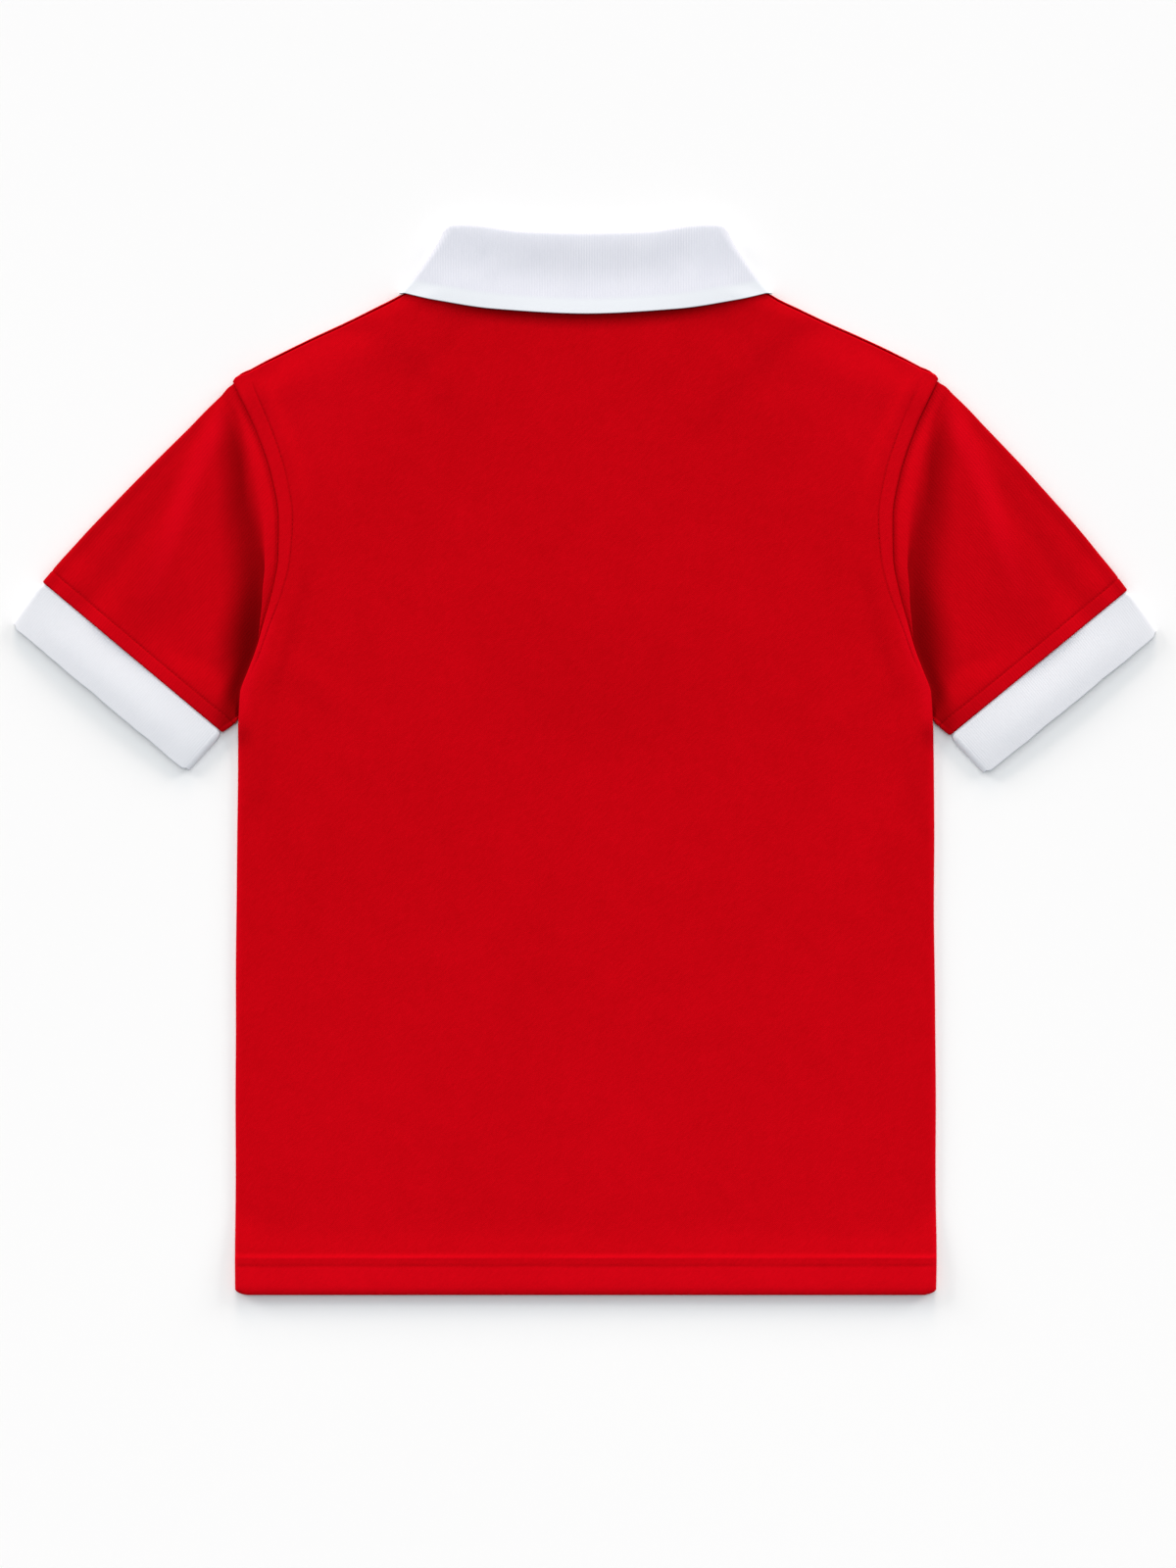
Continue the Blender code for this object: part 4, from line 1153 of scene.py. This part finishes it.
def makeSleeve(name, sign, node):
    place, distance, fold, reach = sleevePlace(sign)
    stations = [("tuck", value) for value in (-sleeve["tuck"], -7, -5, -2.5, 0.0)]
    stations += [("strip", value) for value in (0.05, 0.12, 0.22, 0.34, 0.46, 0.58, 0.7, 0.8, 0.88, 0.94, 0.98)]
    stations += [("fall", value) for value in steps(0.0, 1.0, 14)[:-1]]
    stations += [("between", value) for value in steps(0.0, 1.0, 26)[:-1]]
    backFromCuff = (24, 21, 18, 15, 12.5, 10.8, 9.6, 9.0, 8.4, 7.8, 7.2, 6, 4.5, 3, 1.8, 0.95, 0.6, 0.3, 0.1, 0)
    stations += [("cuff", value) for value in backFromCuff]
    columns = loopColumns(foldedShares(20), foldedShares(44))

    def rim(column, station):
        kind, value = station
        return value if kind == "cuff" else 30.0

    def relief(column, station):
        kind, value = station
        if kind != "cuff":
            return 0.0
        share = column[1] if column[0] in ("top", "bottom") else 0.0
        trough = -0.32 * hump(value, sleeve["stitchUp"], 0.9) * (0.85 + 0.3 * uneven(share * 30, 1.0))
        pucker = 0.08 * uneven(share * 95, 1.0) * hump(value, sleeve["stitchUp"], 5)
        return trough + (pucker if column[0] == "top" else min(pucker, 0))

    def onTop(column, station):
        share = column[1]
        down = distance(share, station)
        return share, down, max(down / reach(share), 0), fold(share)

    # painted shade: in the valley beside the armhole's fold, a contact shadow beside the seam, towards the underarm,
    # in soft patches, along the shoulder's edge and in the stitch line
    def shade(column, station):
        kind, value = station
        stitched = 0.25 * hump(value, sleeve["stitchUp"], 0.8) if kind == "cuff" else 0.0
        if column[0] != "top":
            return max(stitched, 0.22 * (column[0] == "edge0"))
        share, down, part, (sizes, breaks, falls, near) = onTop(column, station)
        room = max(near, 0.7)
        fades = breaks + falls + (sizes["dark"] - 3) * room
        valley = ramp(down, breaks - 0.5 * near, breaks + lerp(1.0, 0.4, sizes["steep"]) * falls)
        valley *= 1 - ramp(down, fades, fades + (sizes["fade"] + 3) * room)
        besideSeam = 0.5 * (1 - ramp(down, 0.2, 1.3)) * ramp(down, -2, 0)
        underarm = 0.30 * ramp(share, 0.56, 1.0)
        soft = 0.13 * hump(share, 0.32, 0.26) * hump(down, 95, 45)
        besideRidge = ridgeAt(part) * (0.6 - 0.2 * part)
        soft = max(soft, 0.17 * hump(share, besideRidge, 0.05 + 0.06 * part) * ramp(part, 0.2, 0.42))
        valley *= sizes["shade"] * sleeve["valley"][sign]
        edge = 0.22 * (1 - ramp(share, 0.0, 0.05)) * ramp(down, 8, 40)
        return max(stitched, besideSeam, edge, 1 - (1 - valley) * (1 - underarm) * (1 - soft))

    def pale(column, station):  # painted highlights on the ridge beside the shoulder's edge, on the strip beside the armhole and below the cuff's stitching, and the whole top a little lighter
        if column[0] != "top":
            return 0.0
        share, down, part, (sizes, breaks, falls, near) = onTop(column, station)
        if down < 0:
            return 0.0
        strip = 0.16 * (1 - ramp(down, breaks - 2, breaks + falls)) * ramp(down, 0, 3)
        ridge = 0.50 * hump(share, ridgeAt(part) + 0.015, 0.05 + 0.10 * part)
        ridge *= ramp(down, 5, 20) * (1 - 0.8 * ramp(part, 0.4, 0.9))
        hem = 0.22 * (1 - ramp(station[1], 7, 8.4)) if station[0] == "cuff" else 0.0
        return max(strip, ridge, hem, 0.09)

    def mapAt(column, station):  # the knit runs along the sleeve
        x, y, z = place(column, station, 0)
        x -= sign * body["tipX"]
        return sign * x * acrossCuff[0] + y * acrossCuff[1], sign * x * downSleeve[0] + y * downSleeve[1]

    piece = clothShell(
        name, columns, stations, cloth["body"], cloth["tubeEdge"], place, rim, mapAt, relief, shade, pale
    )
    return dress(piece, "sleevePique", "red_pique", node)


leftSleeve = makeSleeve("leftSleeve", -1, "sleeve_left")
rightSleeve = makeSleeve("rightSleeve", 1, "sleeve_right")


print("stage 6: cuffs")


def makeCuff(name, sign, node):
    inset = cuff["loop"] / 2 + ribMid
    seamInset = coverHalfLoop + cloth["body"] / 2
    ribSteps = 4 * cuff["ribs"]
    shares = [number / ribSteps for number in range(ribSteps + 1)]
    downs = [-cuff["tuck"], -3, -0.3, 0.1, 0.5, 1.0, 1.6, 2.4, 3.4, 4.8, 6.4, 8.5, 11, 14, 17.5, 21, 24.5, 27]
    downs += [28.6, 29.4, 29.9, 30.25, 30.5, cuff["long"]]
    wide = 128.0

    def place(column, down, out):
        share = shareOf(column)
        fromEnd = min(share, 1 - share) * wide
        into = max(cuff["corner"] - fromEnd, 0)
        rounding = cuff["corner"] - sqrt(cuff["corner"] ** 2 - 0.7 * into**2)
        edgeWave = 0.25 * uneven(share * 40 + 3 * sign, 2.0)
        lying = max(down, 0) / cuff["long"]
        shortUnder = 0.8 if column[0] == "bottom" else 0.0
        planDown = down - (rounding + edgeWave + shortUnder) * lying**3 if down > 0 else down

        def centre(at):
            x0, y0 = along(at, cuff["seam"][sign], lerp(seamInset, 2.2, ramp(down, 0, 3.5)))
            if down < 0:
                return x0 + downSleeve[0] * down, y0 + downSleeve[1] * down
            x1, y1 = along(at, cuff["edge"][sign], inset)
            part = planDown / hypot(x1 - x0, y1 - y0)
            return lerp(x0, x1, part), lerp(y0, y1, part)

        drop = cuff["bottomInSleeve"] - ribMid

        def low(at):
            return cuff["bottomInSleeve"] - drop * ramp(down, 0.5, 8.0)

        def high(at):
            fullness = cuff["puff"] * sin(pi * at) ** 0.8 * sin(pi * max(down, 0) / cuff["long"])
            fullness *= 1 + 0.2 * uneven(at * 12 + sign, 1.4)
            fullness += cuff["gape"] * sin(pi * at) ** 0.7 * ramp(down, 2, 24) + 0.8 * ramp(down, -0.3, 1.5)
            fall = drop * (max(down, 0) / cuff["long"]) ** 1.2
            return cuff["bottomInSleeve"] + cuff["loop"] - fall + fullness

        x, y, z = tubePoint(column, centre, backAcrossCuff, acrossCuff, low, high, out)
        return sign * x, y, z

    def ribAt(share):  # 1 on a ridge and -1 between two
        return -cos(2 * pi * share * cuff["ribs"])

    def relief(column, down):
        kind, value = column
        if down < 0.8 or kind not in ("top", "bottom"):
            return 0.0
        raised = cuff["ribRaise"] * ribAt(value) * ramp(down, 0.8, 2.5) * (1 - 0.5 * ramp(down, 28.5, 30.5))
        edge = ramp(min(value, 1 - value) * wide, 0.0, 1.2)
        return raised * edge if kind == "top" else (raised - cuff["ribRaise"]) * 0.5 * edge

    def rim(column, down):
        return cuff["long"] - down

    # painted shade in the hollows between the ribs, darker near the seam
    def shade(column, down):
        kind, value = column
        if kind == "bottom" or kind == "top":
            hollow = ramp(-ribAt(value), 0.0, 1.0)
            return (0.035 + 0.05 * (1 - ramp(down, 1, 5 + 3 * uneven(value * 60, 1.0)))) * hollow
        return 0.0

    def mapAt(column, down):
        return roundTube(column, wide), down

    piece = clothShell(
        name, loopColumns(shares), downs, cloth["rib"], cloth["ownEdge"], place, rim, mapAt, relief, shade
    )
    return dress(piece, "cuffRib", "white_rib", node)


leftCuff = makeCuff("leftCuff", -1, "cuff_left")
rightCuff = makeCuff("rightCuff", 1, "cuff_right")


print("stage 7: collar")

collar = {
    "neckSeam": 0.5,
    "foldRadius": 1.2,
    "standHalfLoop": 1.2,
    "leafStandOff": 1.2,
    "leafFlare": 1.25,
    "band": 9.0,  # the smooth band along the leaf's edge
    "leafDeep": 45.0,
}
foldStandTop = frontMid + liftOverCollar + 0.7 + 2 * collar["standHalfLoop"]


def collarPlace(signedAt, row, out):
    standBottom = foldStandTop - 2 * collar["standHalfLoop"]
    leafTopAtFold = foldStandTop + 2 * collar["foldRadius"]
    sign, at = sideOf(signedAt), abs(signedAt)
    station = {key: curve(at) for key, curve in collarCurves.items()}
    turn = radians(180 * min(max(at - 2.0, 0.0), 1.0))
    lean = radians(station["lean"])
    kind, value = row
    angle = radians(station["neckAngle"])
    neckX = (body["neckHalf"] - collar["neckSeam"]) * sin(angle)
    backY = backNeckY(neckX) + cloth["gap"] * (1 + 2 * sin(turn))
    frontY = body["neckPointY"] - (body["frontNeckDrop"] - collar["neckSeam"]) * cos(angle)
    neckY = lerp(backY, frontY, ramp(at, 3.0, 3.1))
    foldX, foldY = station["foldX"], station["foldY"]
    lift = 0.0
    if kind == "stand":
        x, y = lerp(neckX, foldX, value), lerp(neckY, foldY, value)
        top = lerp(backLevel(neckX, neckY), foldStandTop, value) + out
        bottom = lerp(frontLevel(neckX, neckY), standBottom, value) - out
    elif kind == "fold":
        x, y = foldX, foldY
        reach = collar["foldRadius"] - (collar["foldRadius"] - out) * cos(value)
        top, bottom = foldStandTop + reach, standBottom - reach
        lift = (collar["foldRadius"] - out) * sin(value)
    else:
        x = foldX + (station["edgeX"] - foldX) * value ** collar["leafFlare"]
        y = lerp(foldY, station["edgeY"], value)
        onBack = backLevel(x, y) + cloth["body"] / 2 + cloth["gap"] + ribMid
        centre = 1 - ramp(abs(x), 74, 100)
        standOff = collar["leafStandOff"] * centre * ramp(value, 0.3, 1.0)
        top = lerp(leafTopAtFold, onBack + standOff, ramp(value, 0.0, 0.7))
        top, bottom = max(top, onBack) - out, ribMid + out
    middle, radius = (top + bottom) / 2, (top - bottom) / 2
    x += sin(turn) * radius - sin(lean) * lift
    return sign * x, y + cos(lean) * lift, middle + cos(turn) * radius


def makeCollar():
    ats = steps(0, 1.8, 32) + steps(1.8, 2.0, 4)[1:] + steps(2.0, 3.0, 14)[1:] + steps(3.0, 3.1, 3)[1:]
    ats += steps(3.1, 5.9, 40)[1:] + [5.94, 5.97, 5.985, 6.0]
    signedAts = [-at for at in reversed(ats[1:])] + ats
    rows = [("stand", share) for share in (0, 0.2, 0.45, 0.65, 0.85)]
    rows += [("fold", radians(angle)) for angle in steps(0, 180, 10)]
    downLeaf = [0.03, 0.07, 0.12, 0.2, 0.3, 0.4, 0.5, 0.6, 0.7, 0.78, 0.84, 0.9, 0.94]
    downLeaf += [0.965, 0.98, 0.987, 0.993, 0.998, 1.0]
    rows += [("leaf", share) for share in downLeaf]
    beyondSide = {at: 0.0 for at in ats}
    for before, after in zip(ats, ats[1:]):  # how far past the side crease each station lies
        a, b = (Vector(collarPlace(at, ("leaf", 0.5), 0)) for at in (before, after))
        beyondSide[after] = beyondSide[before] + (b - a).length if after > 2 else 0.0

    def fromEdge(row):
        kind, value = row
        return (1 - value) * collar["leafDeep"] if kind == "leaf" else 60.0

    def rim(signedAt, row):
        return min(fromEdge(row), (6 - abs(signedAt)) * 18)

    def band(signedAt, row):
        return 1 - ramp(fromEdge(row), collar["band"] - 0.8, collar["band"] + 0.5)

    def shade(signedAt, row):  # painted shade on the roll of the fold, at the side crease, and a little high up in the middle of the leaf
        if row[0] == "fold":
            return 0.42 * sin(row[1])
        if row[0] == "leaf" and abs(signedAt) > 2:
            return 0.30 * hump(abs(signedAt), 2.5, 0.5)
        if row[0] != "leaf":
            return 0.0
        high = ramp(row[1], 0.02, 0.2) * (1 - ramp(row[1], 0.3, 0.8))
        return 0.08 * (1 - ramp(abs(signedAt), 0.6, 1.7)) * high

    def mapAt(signedAt, row):  # the ribs run straight down the back of the leaf
        kind, value = row
        sign, at = sideOf(signedAt), abs(signedAt)
        x = abs(collarPlace(min(at, 2.0), row, 0)[0])
        y = {"stand": 22 + 25 * (1 - value), "fold": -0.5 * value, "leaf": -value * 45}[kind]
        return sign * (x + beyondSide[at]), y

    return clothShell(
        "ribCollar", signedAts, rows, cloth["rib"], (0.5, 0.3), collarPlace, rim, mapAt, nothing, shade, band
    )


ribCollar = dress(makeCollar(), "collarRib", "white_rib", "collar")


print("stage 8: stitching")

stitch = {"pitch": 2.65, "long": 2.35, "wide": 0.62, "high": 0.36, "sunk": 0.02}


def layStitches(name, paths, material, slot):
    # each path is a list of points on the cloth, and a side, 1 on its upper face and -1 on its underside
    mesh = bmesh.new()
    holeShadeOf = mesh.verts.layers.float.new("end")
    for side, path in paths:
        points = [Vector(point) for point in path]
        since = 0.0
        for before, after in zip(points, points[1:]):
            step = after - before
            travelled = stitch["pitch"] - since
            while travelled <= step.length:
                middle = before + step * (travelled / step.length)
                middle.z += stitch["sunk"] * side
                turned = step.to_track_quat("Y", "Z").to_matrix().to_4x4()
                size = Matrix.Diagonal((stitch["wide"] / 2, stitch["long"] / 2, stitch["high"] / 2, 1))
                at = Matrix.Translation(middle * mm) @ Matrix.Scale(mm, 4) @ turned @ size
                made = bmesh.ops.create_uvsphere(mesh, u_segments=6, v_segments=4, radius=1, matrix=at)
                for vert in made["verts"]:
                    off = abs((vert.co / mm - middle).dot(step.normalized())) / (stitch["long"] / 2)
                    # painted shade grows towards the stitch's ends
                    vert[holeShadeOf] = ramp(off, 0.55, 0.95)
                travelled += stitch["pitch"]
            since = (since + step.length) % stitch["pitch"]
    bmesh.ops.recalc_face_normals(mesh, faces=mesh.faces)
    return dress(asPiece(name, mesh, angle=180), material, slot)


def armholeLine(sign, level, side):
    ys = steps(50, 214, 90)
    xs = [(halfWidth(y) - stitchInset(y)) for y in ys]
    out = side * (cloth["body"] / 2 - body["troughDeep"])
    return side, [(sign * x, y, level(sign * x, y) + out) for x, y in zip(xs, ys)]


def hemLine(level, side):
    y, out = body["hemY"] + body["hemStitch"], side * (cloth["body"] / 2 - body["troughDeep"])
    return side, [(x, y, level(x, y) + out) for x in steps(-198, 198, 120)]


def sleeveEndLine(sign, kind):
    place = sleevePlace(sign)[0]
    row, out = ("cuff", sleeve["stitchUp"]), cloth["body"] / 2 - 0.3
    return (1 if kind == "top" else -1), [place((kind, at), row, out) for at in steps(0.015, 0.985, 60)]


def placketLines():
    half, inset = placket["half"] - strip["stitchIn"], strip["stitchIn"]

    def on(x, down):
        y = stripBottom() + down
        return x, y, frontLevel(x, y) - cloth["body"] / 2 + strip["troughDeep"]

    upright = [(-1, [on(sign * half, down) for down in steps(inset, 116, 60)]) for sign in (-1, 1)]
    return upright + [(-1, [on(x, down) for x in steps(-half, half, 12)]) for down in (inset, strip["boxHigh"])]


def panelLines(level, side):
    return [armholeLine(-1, level, side), armholeLine(1, level, side), hemLine(level, side)]


seams = {
    "backStitching": panelLines(backLevel, 1),
    "frontStitching": panelLines(frontLevel, -1),
    "placketStitching": placketLines(),
    "leftSleeveStitching": [sleeveEndLine(-1, "top"), sleeveEndLine(-1, "bottom")],
    "rightSleeveStitching": [sleeveEndLine(1, "top"), sleeveEndLine(1, "bottom")],
}
stitched = {name: layStitches(name, paths, "redThread", "red_pique") for name, paths in seams.items()}


print("stage 9: buttons")

button = {
    "ys": {"button_top": 214.0, "button_middle": 170.0, "button_bottom": 126.0},
    "holeOffset": 1.7,
    "threadThick": 0.55,
}


def buttonThreads():  # two short bars of thread through each button's four holes
    mesh = bmesh.new()
    mesh.verts.layers.float.new("end")
    spread = button["holeOffset"] * cos(pi / 4)
    for y in button["ys"].values():
        for sideways in (-1, 1):
            at = Matrix.Translation(Vector((sideways * spread, y, 0.72)) * mm)
            size = Matrix.Diagonal((button["threadThick"] / 2 * mm, spread * 1.35 * mm, 0.3 * mm, 1))
            bmesh.ops.create_uvsphere(mesh, u_segments=10, v_segments=8, radius=1, matrix=at @ size)
    return dress(asPiece("buttonThreads", mesh, angle=180), "whiteThread", "white_button")


buttonThreads()
for nodeName in button["ys"]:
    node = frame["nodes"][nodeName]
    for place in node.material_slots:
        place.material = finishes["buttonPlastic"]


print("stage 10: sheets")

bodyCut, sleeveCut, cuffCut, placketCut = (0.405, 0.607), (0.40, 0.17), (0.262, 0.0366), (0.028, 0.122)
threads = {name: [piece] for name, piece in stitched.items()}
under = ["frontPanel"]
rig.sheet(backPanel, flat=bodyCut, held="laid", rests_on=under, area=0.228, with_pieces=threads["backStitching"])
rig.sheet(frontPanel, flat=bodyCut, held="laid", area=0.219, with_pieces=threads["frontStitching"])
for piece, under in ((leftSleeve, "leftCuff"), (rightSleeve, "rightCuff")):
    sewn = threads[piece.name + "Stitching"]
    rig.sheet(piece, flat=sleeveCut, held="laid", rests_on=[under], area=0.0317, with_pieces=sewn)
for piece in (leftCuff, rightCuff):
    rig.sheet(piece, flat=cuffCut, held="laid", area=0.0094)
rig.sheet(ribCollar, flat=(0.42, 0.075), held="folded", rests_on=["backPanel"], area=0.0277)
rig.sheet(upperPlacket, flat=placketCut, held="laid", area=0.0033, with_pieces=threads["placketStitching"])
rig.sheet(underPlacket, flat=placketCut, held="laid", area=0.0033)


print("stage 11: floor, light and camera")

studio = {
    "floor": 12.0,
    "world": (0.84, 0.94, 1.0, 1.0),
    "worldStrength": 0.30,
    "cameraAt": (0.0014, -0.0135, 2.505),
    "lens": 100.0,
}

floorMesh = bmesh.new()
bmesh.ops.create_grid(floorMesh, x_segments=8, y_segments=8, size=studio["floor"])
floor = asPiece("floor", floorMesh)
floor.data.materials.append(finishes["paleFloor"])
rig.stage(floor)

world = bpy.data.worlds.new("studio")
bpy.context.scene.world = world
world.use_nodes = True
world.node_tree.nodes["Background"].inputs["Color"].default_value = studio["world"]
world.node_tree.nodes["Background"].inputs["Strength"].default_value = studio["worldStrength"]

lamps = table(  # soft lamps far off, each by its height above the horizon and its turn from the collar's side
    "name height turn softness strength colour",
    [
        ("overLamp", 78.0, 0.0, 26.0, 0.857, (1.0, 1.0, 1.0)),
        ("highLamp", 45.0, 0.0, 30.0, 0.66, (1.0, 1.0, 1.0)),
        ("lowLamp", 17.0, 0.0, 20.0, 1.20, (1.0, 0.80, 0.66)),
        ("leftLamp", 16.0, 54.0, 24.0, 1.55, (1.0, 0.94, 0.90)),
        ("rightLamp", 16.0, -54.0, 24.0, 1.45, (1.0, 0.94, 0.90)),
    ],
)
for row in lamps:
    data = bpy.data.lights.new(row["name"], "SUN")
    data.angle, data.energy, data.color = radians(row["softness"]), row["strength"], row["colour"]
    lamp = bpy.data.objects.new(row["name"], data)
    lamp.rotation_euler = (radians(row["height"] - 90), 0, radians(row["turn"]))
    bpy.context.scene.collection.objects.link(lamp)

camera = bpy.data.objects.new("camera", bpy.data.cameras.new("camera"))
camera.data.lens = studio["lens"]
camera.location = studio["cameraAt"]
bpy.context.scene.collection.objects.link(camera)
bpy.context.scene.camera = camera
bpy.context.scene.view_settings.view_transform = "Standard"

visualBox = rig.bounds()
with open("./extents.json", "w") as sizes:
    json.dump({"cad": [list(c) for c in cadBox], "visual": [list(c) for c in visualBox]}, sizes)
